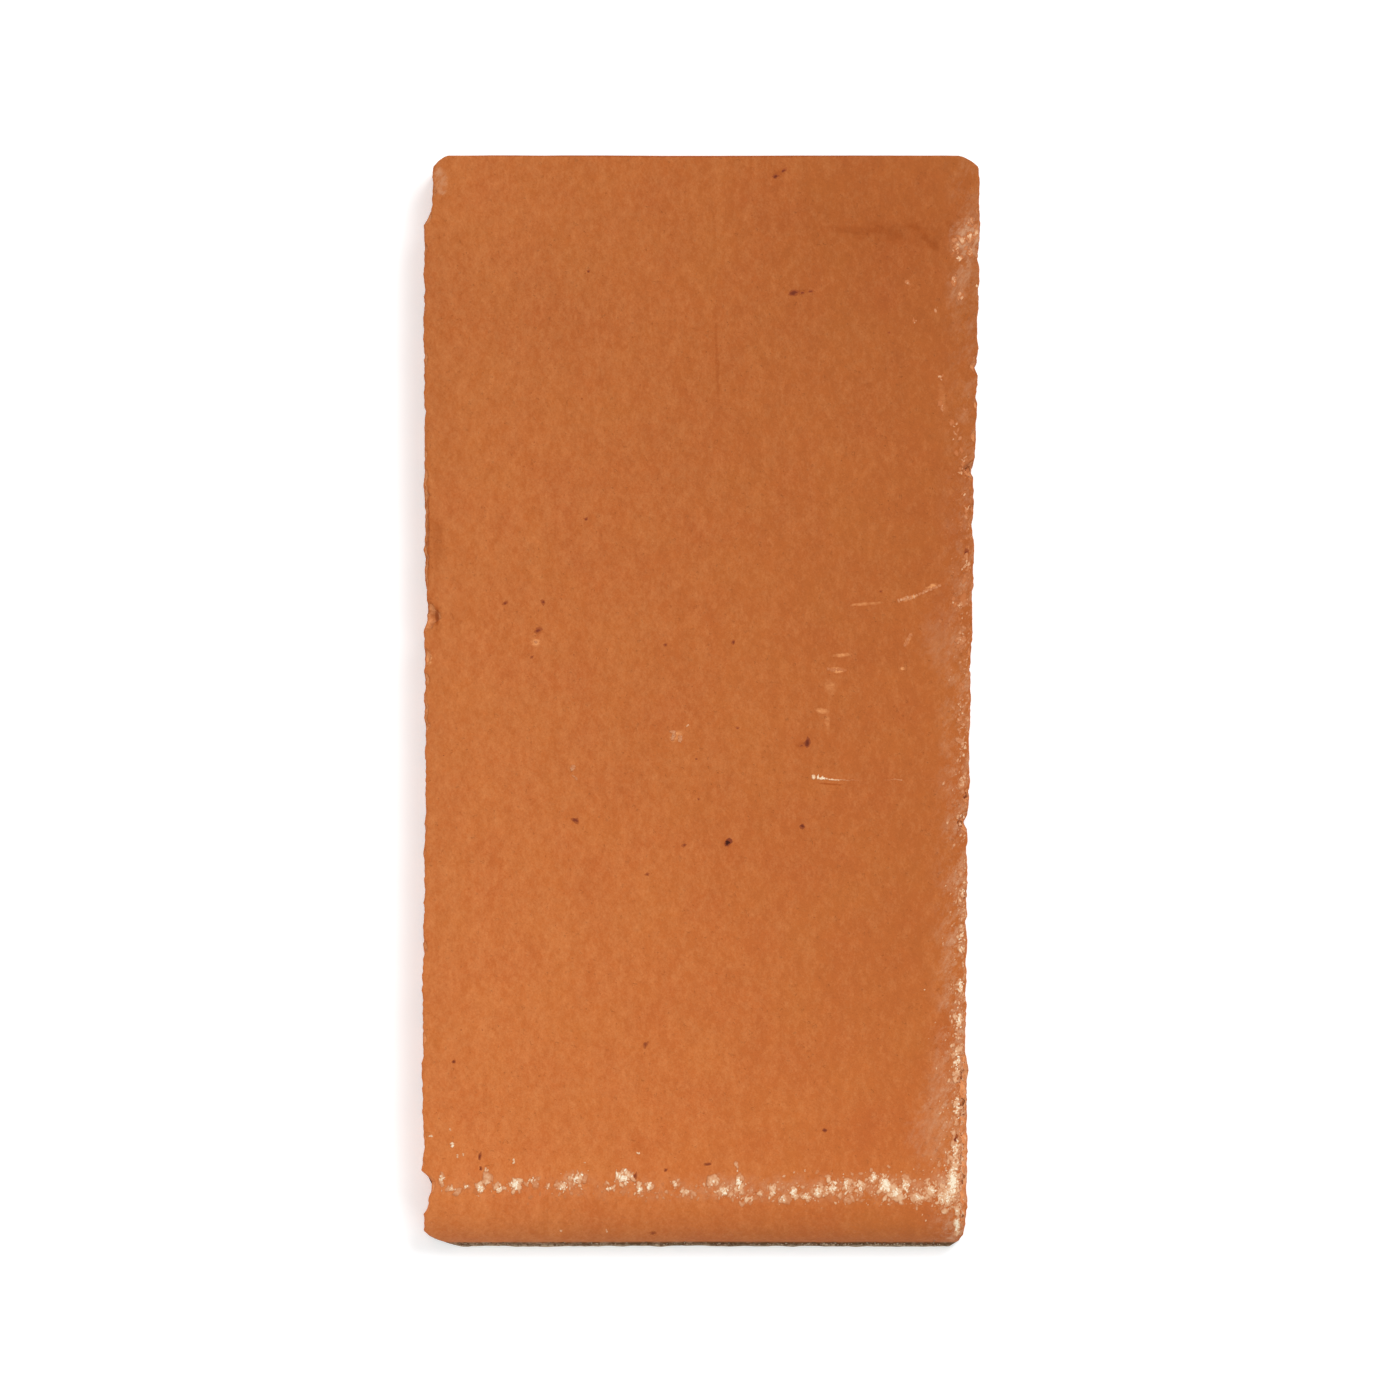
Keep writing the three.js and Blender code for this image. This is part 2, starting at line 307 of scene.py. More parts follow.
def section_grid(row_share):
    """Y and Z for every (column along the tile, row up it)."""
    chain = snap_to_grooves(top_chain())
    bed_y, bed_z = bed_chain(chain[:, 0])
    y = np.repeat(chain[:, :1], len(row_share), axis=1)
    y[:, 0] = bed_y
    z = bed_z[:, None] + (chain[:, 1] - bed_z)[:, None] * row_share
    for profile, end, reach in ((front_profile, 0, NOSE_BLEND), (butt_profile, -1, BUTT_BLEND)):
        ends = profile(row_share)
        shift = ends - np.column_stack([y[end], z[end]])
        shift[0] = 0
        fade = np.clip(1 - np.abs(chain[:, 0] - chain[end, 0]) / reach, 0, 1)
        fade = eased(fade)
        y += fade[:, None] * shift[:, 0]
        z += fade[:, None] * shift[:, 1]
    return y, z


def box_faces(shape):
    """The faces of a box of grid points, bed coarser than the rest, all turned outwards."""
    columns, lengths, rows = shape
    ids = np.arange(columns * lengths * rows).reshape(shape)

    def quads(sheet, flip):
        a, b, c, d = sheet[:-1, :-1], sheet[1:, :-1], sheet[1:, 1:], sheet[:-1, 1:]
        order = (d, c, b, a) if flip else (a, b, c, d)
        return [tuple(q) for q in np.stack(order, axis=-1).reshape(-1, 4).tolist()]

    faces = quads(ids[:, :, -1], False)
    faces += quads(ids[0], True) + quads(ids[-1], False)
    faces += quads(ids[:, 0, :], False) + quads(ids[:, -1, :], True)
    bed = ids[:, :, 0]
    faces += quads(bed[::BED_SKIP, 1:-1], True)
    for start in range(0, columns - 1, BED_SKIP):
        stop = start + BED_SKIP
        faces.append((*bed[start:stop + 1, 0].tolist(), bed[stop, 1], bed[start, 1])[::-1])
        faces.append((*bed[start:stop + 1, -1].tolist()[::-1], bed[start, -2], bed[stop, -2])[::-1])
    return faces


# ---------------------------------------------------------------- the clay's surface


def corner_inset(side, y):
    """How far the corners at both ends take a long side in."""
    total = np.zeros_like(y)
    for end, distance in (("front", y - FRONT), ("butt", BUTT - y)):
        across, along, power = CORNERS[side, end]
        total += across * np.clip(1 - distance / along, 0, 1) ** power
    return total


def side_inset(side, line, points, offset):
    """How far a wire-cut long side stands in at each point, with the drag marks of the wire."""
    y, z = points[:, 1], points[:, 2]
    flat = np.zeros_like(y)
    knots = sorted(line)
    inset = np.interp(y, [k[0] for k in knots], [k[1] for k in knots])
    inset += layered(np.column_stack([flat, y, flat]), CUT_WAVES, offset)
    inset += layered(np.column_stack([flat, y + WIRE_LEAN * z, WIRE_DRAW * z]), WIRE_STRANDS, offset)
    inset += layered(points, CUT_GRAIN, offset)
    return np.maximum(inset + corner_inset(side, y), LEAST_INSET[side])


def right_straight(y):
    """X of the straight line that the right side keeps to."""
    return RIGHT - (BUTT - y) * SIDE_SLOPE


def skin_depth(y, z):
    """How deep a point lies under the top, the nose or the butt, and the way inwards in Y and Z."""
    from_top = TOP - z
    from_butt = BUTT - y
    butt = from_butt < from_top
    depth = np.where(butt, from_butt, from_top)
    way = np.stack([np.where(butt, -1.0, 0.0), np.where(butt, 0.0, -1.0)], axis=1)
    dy, dz = y - CREST_Y, z - NOSE_CENTRE_Z
    radial = np.maximum(np.hypot(dy, dz), TINY)
    arc = (dy < 0) & (dz > 0)
    depth = np.where(arc, NOSE_RADIUS - radial, depth)
    way[arc] = np.stack([-dy / radial, -dz / radial], axis=1)[arc]
    low = (dy < 0) & (dz <= 0)
    depth = np.where(low, y - NOSE_Y, depth)
    way[low] = (1.0, 0.0)
    return np.maximum(depth, 0), way


def all_chips():
    """The named chips and many small ones, each (side, y, length, reach, drop)."""
    random = np.random.default_rng(23)
    chips = list(CHIPS)
    for i in range(SMALL_CHIPS):
        side = LEFT_SIDE if i % 2 else RIGHT_SIDE
        y = random.uniform(FRONT + SMALL_CHIP_FREE_NOSE, BUTT - SMALL_CHIP_FREE_BUTT)
        length = random.uniform(*SMALL_CHIP_LENGTH)
        reach = random.uniform(*SMALL_CHIP_REACH)
        chips.append((side, y, length, reach, reach * random.uniform(*SMALL_CHIP_STEEPNESS)))
    return chips


def chip_size(side, y, chips):
    """The reach and drop of the largest chip at each place along one arris."""
    reach, drop = np.zeros_like(y), np.zeros_like(y)
    for chip_side, at, length, full_reach, full_drop in chips:
        if chip_side != side:
            continue
        share = np.abs(2 * (y - at) / length)
        power = LONG_CHIP_POWER if length > LONG_CHIP else SHORT_CHIP_POWER
        open_share = np.sqrt(np.clip(1 - share ** power, 0, 1))
        larger = full_reach * open_share > reach
        reach = np.where(larger, full_reach * open_share, reach)
        drop = np.where(larger, full_drop * open_share, drop)
    return reach, drop


def worn_arris(across, depth, radius, reach, drop):
    """Where a point near an arris goes, as its distances from the side and from the skin."""
    on_side = across < TINY
    distance = np.where(on_side, depth, across)

    def angle(limit):
        part = np.clip(distance / np.maximum(limit, TINY), 0, 1)
        return EIGHTH_TURN * np.where(on_side, 1 + part, 1 - part)

    turn = angle(radius)
    near = distance < radius
    round_across = np.where(near, radius - radius * np.sin(turn), across)
    round_depth = np.where(near, radius - radius * np.cos(turn), depth)
    open_reach, open_drop = np.maximum(reach, radius), np.maximum(drop, radius)
    limit = np.where(on_side, open_drop, open_reach)
    turn = angle(limit)
    near = distance < limit
    scoop_across = np.where(near, open_reach * np.cos(turn), across)
    scoop_depth = np.where(near, open_drop * np.sin(turn), depth)
    mix = np.clip((reach / radius - SCOOP_FROM) / SCOOP_SPAN, 0, 1)
    return round_across + mix * (scoop_across - round_across), round_depth + mix * (scoop_depth - round_depth)


def side_lines(points):
    """X of the left and of the right side at each point."""
    y, z = points[:, 1], points[:, 2]
    left = LEFT + side_inset("left", LEFT_LINE, points + (LEFT, 0, 0), LEFT_OFFSET)
    right = right_straight(y) - side_inset("right", RIGHT_LINE, points + (RIGHT, 0, 0), RIGHT_OFFSET)
    low = np.clip((FOOT_LEDGE_TOP - z) / FOOT_LEDGE_FADE, 0, 1) * (y < FRONT + FOOT_LEDGE_LENGTH)
    right -= low * FOOT_SET_BACK * np.clip(1 - (y - FRONT) / FOOT_LEDGE_LENGTH, 0, 1)
    return left, right


def clay_points(share, y, z, on_skin, on_bed):
    """The points of the fired clay, from its grid: straight section, cut sides, corners, wear."""
    left, right = side_lines(np.column_stack([np.zeros_like(y), y, z]))
    x = left + (right - left) * share
    depth, way = skin_depth(y, z)
    depth = np.where(on_skin, 0, depth)
    chips = all_chips()
    moved_in = np.zeros_like(x)
    moved_down = np.zeros_like(x)
    for side, edge, offset in ((LEFT_SIDE, left, 3.0), (RIGHT_SIDE, right, 17.0)):
        across = np.abs(x - edge)
        mine = ((share < 0.5) if side == LEFT_SIDE else (share >= 0.5)) & ~on_bed
        radius = ARRIS_RADIUS + ARRIS_VARIATION * line_noise(y, ARRIS_VARIATION_SIZE, offset)
        reach, drop = chip_size(side, y, chips)
        wobble = 1 + CHIP_WOBBLE * line_noise(y, CHIP_WOBBLE_SIZE, offset + 4)
        new_across, new_depth = worn_arris(across, depth, radius, reach * wobble, drop * wobble)
        moved_in += np.where(mine, -side * (new_across - across), 0)
        moved_down += np.where(mine, new_depth - depth, 0)
    broken = np.clip(np.hypot(moved_in, moved_down) / BROKEN_DEPTH, 0, 1)
    x = x + moved_in
    y = y + moved_down * way[:, 0]
    z = z + moved_down * way[:, 1]
    return rough_points(np.column_stack([x, y, z]), share, way, on_skin, broken), broken


def rough_points(points, share, way, on_skin, broken):
    """The same points with the surface's own unevenness: soft on the skin, coarse where broken."""
    lift = layered(points, SKIN_WAVES) + broken * layered(points, BROKEN_GRAIN)
    foot = np.clip((FOOT_ROUGH_TOP - points[:, 2]) / FOOT_ROUGH_FADE, 0, 1)
    foot = foot * (points[:, 1] < FRONT + FOOT_ROUGH_LENGTH)
    ragged = layered(points * (1, 1, 2), FOOT_RIPPLE) + layered(points, FOOT_GRAIN)
    lift += foot * (ragged - FOOT_GRAIN_SINK)
    lift = np.where(on_skin, lift, 0)
    moved = points.copy()
    moved[:, 1] -= lift * way[:, 0]
    moved[:, 2] -= lift * way[:, 1]
    edge = np.where(share < 0.5, 1.0, -1.0) * np.where(on_skin, 0, 1)
    moved[:, 0] += edge * broken * layered(points, BROKEN_EDGE_GRAIN)
    moved[:, 1] = np.clip(moved[:, 1], FRONT - MOST_PAST_FRONT, BUTT + MOST_PAST_BUTT)
    moved[:, 2] = np.maximum(moved[:, 2], BED)
    return moved


def clay_mesh():
    """The fired clay as one closed mesh: points, faces, and how broken each point is."""
    share_of_column = column_shares()
    share_of_row = row_shares()
    section_y, section_z = section_grid(share_of_row)
    shape = (len(share_of_column), *section_y.shape)
    faces = box_faces(shape)
    used = np.unique(np.concatenate([np.array(face) for face in faces]))
    renumber = np.full(np.prod(shape), -1)
    renumber[used] = np.arange(len(used))
    column, length, row = np.unravel_index(used, shape)
    share = share_of_column[column]
    on_skin = (row == shape[2] - 1) | (length == 0) | (length == shape[1] - 1)
    on_bed = (row == 0) & ~on_skin & (column > 0) & (column < shape[0] - 1)
    y, z = section_y[length, row], section_z[length, row]
    points, broken = clay_points(share, y, z, on_skin, on_bed)
    return points, [renumber[list(face)].tolist() for face in faces], broken


# ---------------------------------------------------------------- meshes and what lies on the clay


def mesh_piece(name, points, faces):
    """An object from points in millimetres."""
    mesh = bpy.data.meshes.new(name)
    mesh.from_pydata((np.asarray(points) * MM).tolist(), [], faces)
    mesh.validate()
    mesh.update()
    mesh.shade_smooth()
    piece = bpy.data.objects.new(name, mesh)
    bpy.context.scene.collection.objects.link(piece)
    return piece


def carry(piece, name, values):
    """Gives a mesh one number per point, for its material to read."""
    attribute = piece.data.attributes.new(name, "FLOAT", "POINT")
    attribute.data.foreach_set("value", values.ravel().astype(np.float32))


# A dome is (x, y, half length, half width, turn, height, strength)
DOME_SIDES = 9
RIM_RAGGEDNESS = (0.62, 1.2)
SHOULDER_PLACE = (0.4, 0.7)
SHOULDER_HEIGHT = 0.8
RIM_SINK = 0.02
UNDERSIDE_SINK = 3 * RIM_SINK
MOST_FALL_SHARE = 3.0
MOST_FALL = 0.3
CAST_HEIGHT = 60.0
DOWN = Vector((0, 0, -1))


def drop_on_clay(tree, plan):
    """The point of the clay under each plan point and its normal there, or NaN beside the tile."""
    hits = np.full((len(plan), 3), np.nan)
    normals = np.full((len(plan), 3), np.nan)
    for i, (x, y) in enumerate(plan):
        place, normal, _, _ = tree.ray_cast(Vector((x, y, CAST_HEIGHT)), DOWN)
        if place is not None:
            hits[i] = place
            normals[i] = normal
    return hits, normals


def dome_outlines(domes, random):
    """Plan points of each dome's rim, about its centre: a ragged ellipse."""
    angle = np.arange(DOME_SIDES) * 2 * math.pi / DOME_SIDES
    angle = angle + random.uniform(0, 2 * math.pi, (len(domes), 1))
    ragged = random.uniform(*RIM_RAGGEDNESS, angle.shape)
    along = domes[:, 2:3] * ragged * np.cos(angle)
    across = domes[:, 3:4] * ragged * np.sin(angle)
    cos, sin = np.cos(domes[:, 4:5]), np.sin(domes[:, 4:5])
    return np.stack([along * cos - across * sin, along * sin + across * cos], axis=-1)


def dome_piece(name, tree, domes, seed):
    """One mesh of low ragged domes lying on the clay, closed underneath. Strength fades to their rims."""
    random = np.random.default_rng(seed)
    domes = np.asarray(domes, float)
    rim = dome_outlines(domes, random)
    shoulder_share = random.uniform(*SHOULDER_PLACE, (len(domes), DOME_SIDES, 1))
    centre = domes[:, None, :2]
    plan = np.concatenate([centre + rim, centre + rim * shoulder_share, centre, centre], axis=1)
    per_dome = plan.shape[1]
    hits, normals = drop_on_clay(tree, plan.reshape(-1, 2))
    hits = hits.reshape(-1, per_dome, 3)
    normals = normals.reshape(-1, per_dome, 3)
    level = np.ptp(hits[:, :, 2], axis=1) < MOST_FALL_SHARE * domes[:, 2] + MOST_FALL
    keep = ~np.isnan(hits).any(axis=(1, 2)) & level
    domes, hits, normals = domes[keep], hits[keep], normals[keep]
    swell = np.repeat([0.0, SHOULDER_HEIGHT, 1.0, 0.0], [DOME_SIDES, DOME_SIDES, 1, 1])
    lift = swell * domes[:, 5:6]
    lift[:, :DOME_SIDES] -= RIM_SINK
    lift[:, -1] -= UNDERSIDE_SINK
    points = (hits + normals * lift[..., None]).reshape(-1, 3)
    pattern = dome_faces()
    faces = [[i + per_dome * d for i in face] for d in range(len(domes)) for face in pattern]
    piece = mesh_piece(name, points, faces)
    carry(piece, "strength", swell * domes[:, 6:7])
    return piece


def dome_faces():
    """The faces of one dome: a band from rim to shoulder, a cap, and the underside."""
    faces = []
    top, under = 2 * DOME_SIDES, 2 * DOME_SIDES + 1
    for i in range(DOME_SIDES):
        j = (i + 1) % DOME_SIDES
        faces.append((i, j, DOME_SIDES + j, DOME_SIDES + i))
        faces.append((DOME_SIDES + i, DOME_SIDES + j, top))
        faces.append((j, i, under))
    return faces


# ---------------------------------------------------------------- the lime

# Clumps on the nose: (x, y, spread along X, spread along Y, flakes, strength)
NOSE_CLUMPS = (
    (-70.9, -131.6, 0.5, 1.6, 12, 0.7), (-68.4, -134.3, 0.9, 0.7, 9, 0.6), (-64.1, -133.6, 0.6, 0.5, 7, 0.7),
    (-60.3, -134.0, 0.7, 0.8, 16, 1.0), (-58.8, -129.0, 0.5, 0.5, 4, 0.7), (-58.2, -132.2, 0.6, 0.6, 6, 0.7),
    (-55.2, -134.2, 0.8, 0.7, 12, 0.8), (-50.9, -133.2, 1.3, 1.1, 34, 1.0),
    (-46.3, -131.9, 1.0, 0.9, 12, 0.6),
    (-41.6, -133.6, 0.7, 0.6, 5, 0.5), (-37.6, -133.6, 1.3, 1.2, 20, 0.7), (-34.0, -131.4, 1.5, 1.3, 26, 0.8),
    (-24.8, -134.2, 0.9, 0.5, 8, 0.7), (-20.9, -131.2, 1.5, 1.3, 40, 1.0), (-16.7, -134.4, 0.6, 1.1, 14, 0.9),
    (-13.9, -133.4, 0.7, 0.7, 10, 0.9), (-7.0, -132.8, 0.8, 0.6, 8, 0.7), (-3.8, -135.0, 1.1, 0.6, 12, 0.6),
    (3.6, -132.4, 1.2, 0.9, 16, 0.7), (6.8, -134.8, 1.6, 1.1, 24, 0.8), (10.6, -132.6, 0.9, 1.9, 26, 0.9),
    (13.0, -137.0, 1.6, 0.8, 12, 0.6), (16.4, -135.6, 1.2, 0.6, 9, 0.5), (20.0, -134.8, 0.8, 1.4, 18, 0.7),
    (22.9, -137.0, 0.8, 0.6, 12, 0.8), (25.6, -134.9, 0.8, 1.0, 16, 0.9), (29.0, -136.2, 1.0, 0.8, 14, 0.8),
    (32.4, -135.2, 1.3, 1.2, 26, 0.8), (36.4, -133.8, 1.5, 1.4, 30, 0.8), (40.2, -133.2, 0.9, 1.7, 22, 0.8),
    (44.3, -133.6, 1.1, 1.5, 18, 0.7), (47.6, -131.2, 0.7, 1.1, 18, 0.9), (50.8, -133.0, 1.3, 1.8, 60, 1.0),
    (53.6, -135.4, 0.9, 1.2, 30, 1.0), (56.4, -133.4, 1.0, 1.4, 26, 0.8), (59.8, -136.6, 1.2, 1.4, 26, 0.7),
    (63.4, -134.6, 1.1, 1.3, 30, 0.8), (66.4, -136.6, 1.3, 1.8, 34, 0.7),
)
# Clumps on the right arris, in the same form
SIDE_CLUMPS = (
    (69.6, -132.4, 1.1, 3.6, 140, 1.0), (68.4, -136.3, 1.5, 2.4, 56, 0.8), (70.6, -144.0, 0.4, 1.9, 36, 1.0),
    (70.2, -124.0, 0.9, 2.6, 34, 0.8), (70.6, -112.0, 0.9, 3.0, 26, 0.8), (70.7, -100.0, 0.9, 4.0, 28, 0.78),
    (71.1, -88.0, 0.9, 3.4, 24, 0.8), (71.6, -79.0, 0.8, 2.0, 22, 0.9), (71.8, -66.0, 0.8, 3.8, 18, 0.7),
    (72.2, -53.0, 0.8, 4.0, 14, 0.6), (72.2, -33.0, 0.8, 1.6, 8, 0.6), (72.0, -22.6, 1.0, 2.2, 12, 0.45),
    (72.2, -14.0, 1.1, 3.5, 12, 0.4), (71.6, -2.6, 1.2, 3.6, 12, 0.35), (71.9, 16.0, 1.3, 4.0, 10, 0.3),
    (71.4, 26.0, 1.5, 2.4, 12, 0.32), (72.8, 37.0, 1.2, 2.5, 10, 0.35), (73.2, 52.0, 1.0, 3.0, 8, 0.4),
    (72.6, 64.0, 1.8, 4.0, 10, 0.3),
)
# Scuffs near the butt's right corner, on the wear face
SCUFF_CLUMPS = (
    (72.2, 126.6, 0.9, 0.5, 12, 0.5), (74.2, 127.4, 0.8, 0.5, 10, 0.42), (76.0, 128.6, 0.5, 0.9, 10, 0.45),
    (71.4, 121.5, 0.45, 0.4, 7, 0.65), (70.6, 124.6, 0.8, 1.4, 8, 0.3), (74.6, 123.2, 0.8, 1.2, 7, 0.3),
    (74.8, 131.6, 0.8, 1.2, 8, 0.32), (70.0, 115.0, 0.35, 1.4, 6, 0.3), (71.9, 111.0, 0.4, 1.4, 7, 0.32),
    (59.1, 104.1, 0.5, 0.5, 2, 0.35), (65.2, 106.9, 0.6, 0.6, 2, 0.3), (57.0, 114.8, 0.3, 0.4, 2, 0.3),
    (66.0, 88.7, 0.6, 1.2, 3, 0.3), (66.8, 79.9, 0.6, 1.4, 3, 0.3), (70.4, 74.0, 1.5, 4.0, 8, 0.3),
)
# Scratches: (x, y, x, y, half width at both ends, strength at both ends)
SCRATCHES = (
    (31.2, -21.4, 33.6, -21.7, 1.0, 0.75, 1.0, 1.0), (33.2, -21.8, 38.0, -22.3, 0.55, 0.24, 1.0, 0.6),
    (38.0, -22.3, 43.5, -22.4, 0.24, 0.16, 0.45, 0.2), (51.0, -22.1, 55.2, -22.2, 0.22, 0.26, 0.15, 0.38),
    (54.6, 27.2, 58.8, 28.3, 0.7, 0.76, 0.42, 0.5), (59.6, 28.6, 62.2, 29.6, 0.5, 0.55, 0.3, 0.42),
    (61.8, 29.8, 65.9, 31.1, 0.62, 0.6, 0.32, 0.32), (35.3, 8.3, 39.7, 7.9, 0.72, 0.6, 0.26, 0.22),
    (56.4, 14.8, 58.0, 17.8, 0.6, 0.6, 0.3, 0.3), (62.0, -22.5, 73.5, -22.4, 0.16, 0.16, 0.12, 0.16),
)
# Loose flecks on the wear face: (x, y, half size, strength)
FLECKS = (
    (-68.2, -122.6, 0.75, 0.8), (-66.6, -125.4, 0.4, 0.5), (-65.0, -125.2, 0.35, 0.4),
    (-51.1, -127.0, 0.6, 0.6), (-16.9, -124.8, 0.45, 0.7), (-68.6, -118.2, 0.35, 0.35),
    (-73.9, -120.0, 0.5, 0.6), (-3.4, -7.2, 0.4, 0.35), (-6.9, -10.0, 1.3, 0.2),
    (-5.2, -11.2, 0.8, 0.22), (-45.0, 15.7, 0.55, 0.2), (76.0, 113.9, 0.5, 0.55),
    (28.7, -129.6, 0.3, 0.4), (-31.6, -127.4, 0.3, 0.3), (62.0, -143.0, 0.3, 0.5), (-38.0, -146.0, 0.4, 0.4),
    (-25.6, -146.2, 0.4, 0.4), (-35.1, -19.3, 1.1, 0.2), (-34.6, -21.4, 0.7, 0.15),
)
# What a clump is made of: (share of its count, size, scatter, faintest, strongest)
CLUMP_LAYERS = (
    (0.55, 1.25, 0.85, 0.22, 0.5),
    (0.6, 0.72, 0.5, 0.5, 0.95),
    (0.4, 0.5, 0.4, 0.85, 1.3),
    (0.35, 0.34, 1.1, 0.3, 0.8),
)
# Strokes lean one way or the other, in degrees; a size is the mean and spread of its logarithm
STROKE_LEANS = (62, -52)
STROKE_LEAN_SHARES = (0.68, 0.32)
STROKE_LEAN_SPREAD = 22
STROKE_SIZE = (0.0, 0.3)
STROKE_WIDTH = (0.42, 0.75)
STROKE_SWELL = 0.08
FAINTEST = 0.05
THINNEST = 0.02
# Powder on the nose: (count, X from and to, Y, spread along Y, strength), thickest at the far end
NOSE_POWDER = (
    (520, -72, 68, -135.2, 2.0, 0.5),
    (240, 10, 68, -135.0, 2.8, 0.45),
)
NOSE_POWDER_CROWDING = 0.62
NOSE_POWDER_SIZE = (-0.8, 0.45)
NOSE_POWDER_WIDTH = (0.45, 0.8)
NOSE_POWDER_LEAN = (60, 30)
NOSE_LIME_SHIFT = -0.35
NOSE_FLAKE = 0.9
# Powder inside the right arris, thinning from the nose towards the butt
SIDE_POWDER = 700
SIDE_POWDER_CROWDING = 1.6
SIDE_POWDER_FROM = -140.0
SIDE_POWDER_LENGTH = 205.0
SIDE_POWDER_SIZE = (-0.75, 0.4)
SIDE_POWDER_WIDTH = (0.4, 0.7)
SIDE_POWDER_LEAN = (64, 22)
SIDE_FREE = 0.5
SIDE_FLAKE = 0.85
POWDER_SHADE = (0.3, 1.0)
POWDER_SWELL = 0.05
FACE_FLAKE = 0.9
SCRATCH_PITCH = 0.7
SCRATCH_CONTRAST = 1.45
SCRATCH_SWELL = 0.06
SCRATCH_STRENGTH = 0.9
FLECK_DOMES = 3
FLECK_SCATTER = 0.4
FLECK_THICKNESS = 0.03


def clump_domes(clumps, random, size):
    """Domes scattered in clumps, mostly short strokes that lean to the right."""
    domes = []
    for x, y, spread_x, spread_y, count, strength in clumps:
        for share, layer_size, scatter, faint, strong in CLUMP_LAYERS:
            for _ in range(max(1, round(count * share))):
                reach = size * layer_size * random.lognormal(*STROKE_SIZE)
                lean = random.choice(STROKE_LEANS, p=STROKE_LEAN_SHARES)
                lean = lean + random.normal(0, STROKE_LEAN_SPREAD)
                place = (random.normal(x, spread_x * scatter), random.normal(y, spread_y * scatter))
                shade = np.clip(strength * random.uniform(faint, strong), FAINTEST, 1)
                wide = reach * random.uniform(*STROKE_WIDTH)
                height = THINNEST + STROKE_SWELL * shade
                domes.append((*place, reach, wide, math.radians(lean), height, shade))
    return domes


def powder_domes(random, count, start, stop, centre, spread, strength):
    """Faint powder along the nose, thickening from one X to another."""
    domes = []
    for _ in range(count):
        share = random.uniform() ** NOSE_POWDER_CROWDING
        reach = random.lognormal(*NOSE_POWDER_SIZE)
        lean = math.radians(random.normal(*NOSE_POWDER_LEAN))
        place = (start + share * (stop - start), random.normal(centre, spread * (0.4 + 0.6 * share)))
        shade = strength * share * random.uniform(*POWDER_SHADE)
        wide = reach * random.uniform(*NOSE_POWDER_WIDTH)
        domes.append((*place, reach, wide, lean, THINNEST + POWDER_SWELL * shade, shade))
    return domes


def side_powder_domes(random):
    """Faint powder inside the right arris."""
    domes = []
    for _ in range(SIDE_POWDER):
        share = random.uniform() ** SIDE_POWDER_CROWDING
        y = SIDE_POWDER_FROM + SIDE_POWDER_LENGTH * share
        x = right_straight(y) - SIDE_FREE - random.exponential(1.9 - 0.3 * share)
        reach = random.lognormal(*SIDE_POWDER_SIZE)
        shade = (0.56 - 0.42 * share) * random.uniform(*POWDER_SHADE)
        lean = math.radians(random.normal(*SIDE_POWDER_LEAN))
        wide = reach * random.uniform(*SIDE_POWDER_WIDTH)
        domes.append((x, y, reach, wide, lean, THINNEST + POWDER_SWELL * shade, shade))
    return domes


def scratch_domes(scratches, random):
    """Domes strung along each scratch, overlapping into a broken line."""
    domes = []
    for x0, y0, x1, y1, wide0, wide1, strong0, strong1 in scratches:
        length = math.hypot(x1 - x0, y1 - y0)
        turn = math.atan2(y1 - y0, x1 - x0)
        count = max(2, round(length / SCRATCH_PITCH))
        for share in np.arange(count) / (count - 1):
            strong = (strong0 + (strong1 - strong0) * share) ** SCRATCH_CONTRAST * random.uniform(0.7, 1.1)
            reach = random.uniform(0.5, 0.9)
            place = (x0 + share * (x1 - x0), y0 + share * (y1 - y0) + random.normal(0, 0.09))
            wide = (wide0 + (wide1 - wide0) * share) * random.uniform(0.8, 1.25)
            height = THINNEST + SCRATCH_SWELL * strong
            domes.append((*place, reach, wide, turn, height, strong * SCRATCH_STRENGTH))
    return domes


def fleck_domes(flecks, random):
    """Domes for single flecks, each a few overlapping ones."""
    domes = []
    for x, y, half, strong in flecks:
        for _ in range(FLECK_DOMES):
            place = (random.normal(x, half * FLECK_SCATTER), random.normal(y, half * FLECK_SCATTER))
            turn = random.uniform(0, math.pi)
            wide = half * random.uniform(0.5, 0.9)
            domes.append((*place, half, wide, turn, FLECK_THICKNESS + POWDER_SWELL * strong, strong))
    return domes


def nose_lime(tree):
    """The lime on the crest of the nose."""
    random = np.random.default_rng(5)
    clumps = [(x, y + NOSE_LIME_SHIFT, *rest) for x, y, *rest in NOSE_CLUMPS]
    domes = clump_domes(clumps, random, NOSE_FLAKE)
    for powder in NOSE_POWDER:
        domes += powder_domes(random, *powder)
    return dome_piece("lime_nose", tree, domes, 6)


def side_lime(tree):
    """The lime along the right arris."""
    random = np.random.default_rng(8)
    domes = clump_domes(SIDE_CLUMPS, random, SIDE_FLAKE) + side_powder_domes(random)
    return dome_piece("lime_side", tree, domes, 9)


def face_lime(tree):
    """Scuffs, scratches and flecks on the wear face."""
    random = np.random.default_rng(14)
    domes = clump_domes(SCUFF_CLUMPS, random, FACE_FLAKE)
    domes += scratch_domes(SCRATCHES, random)
    domes += fleck_domes(FLECKS, random)
    return dome_piece("lime_marks", tree, domes, 15)


# ---------------------------------------------------------------- iron spots and grit

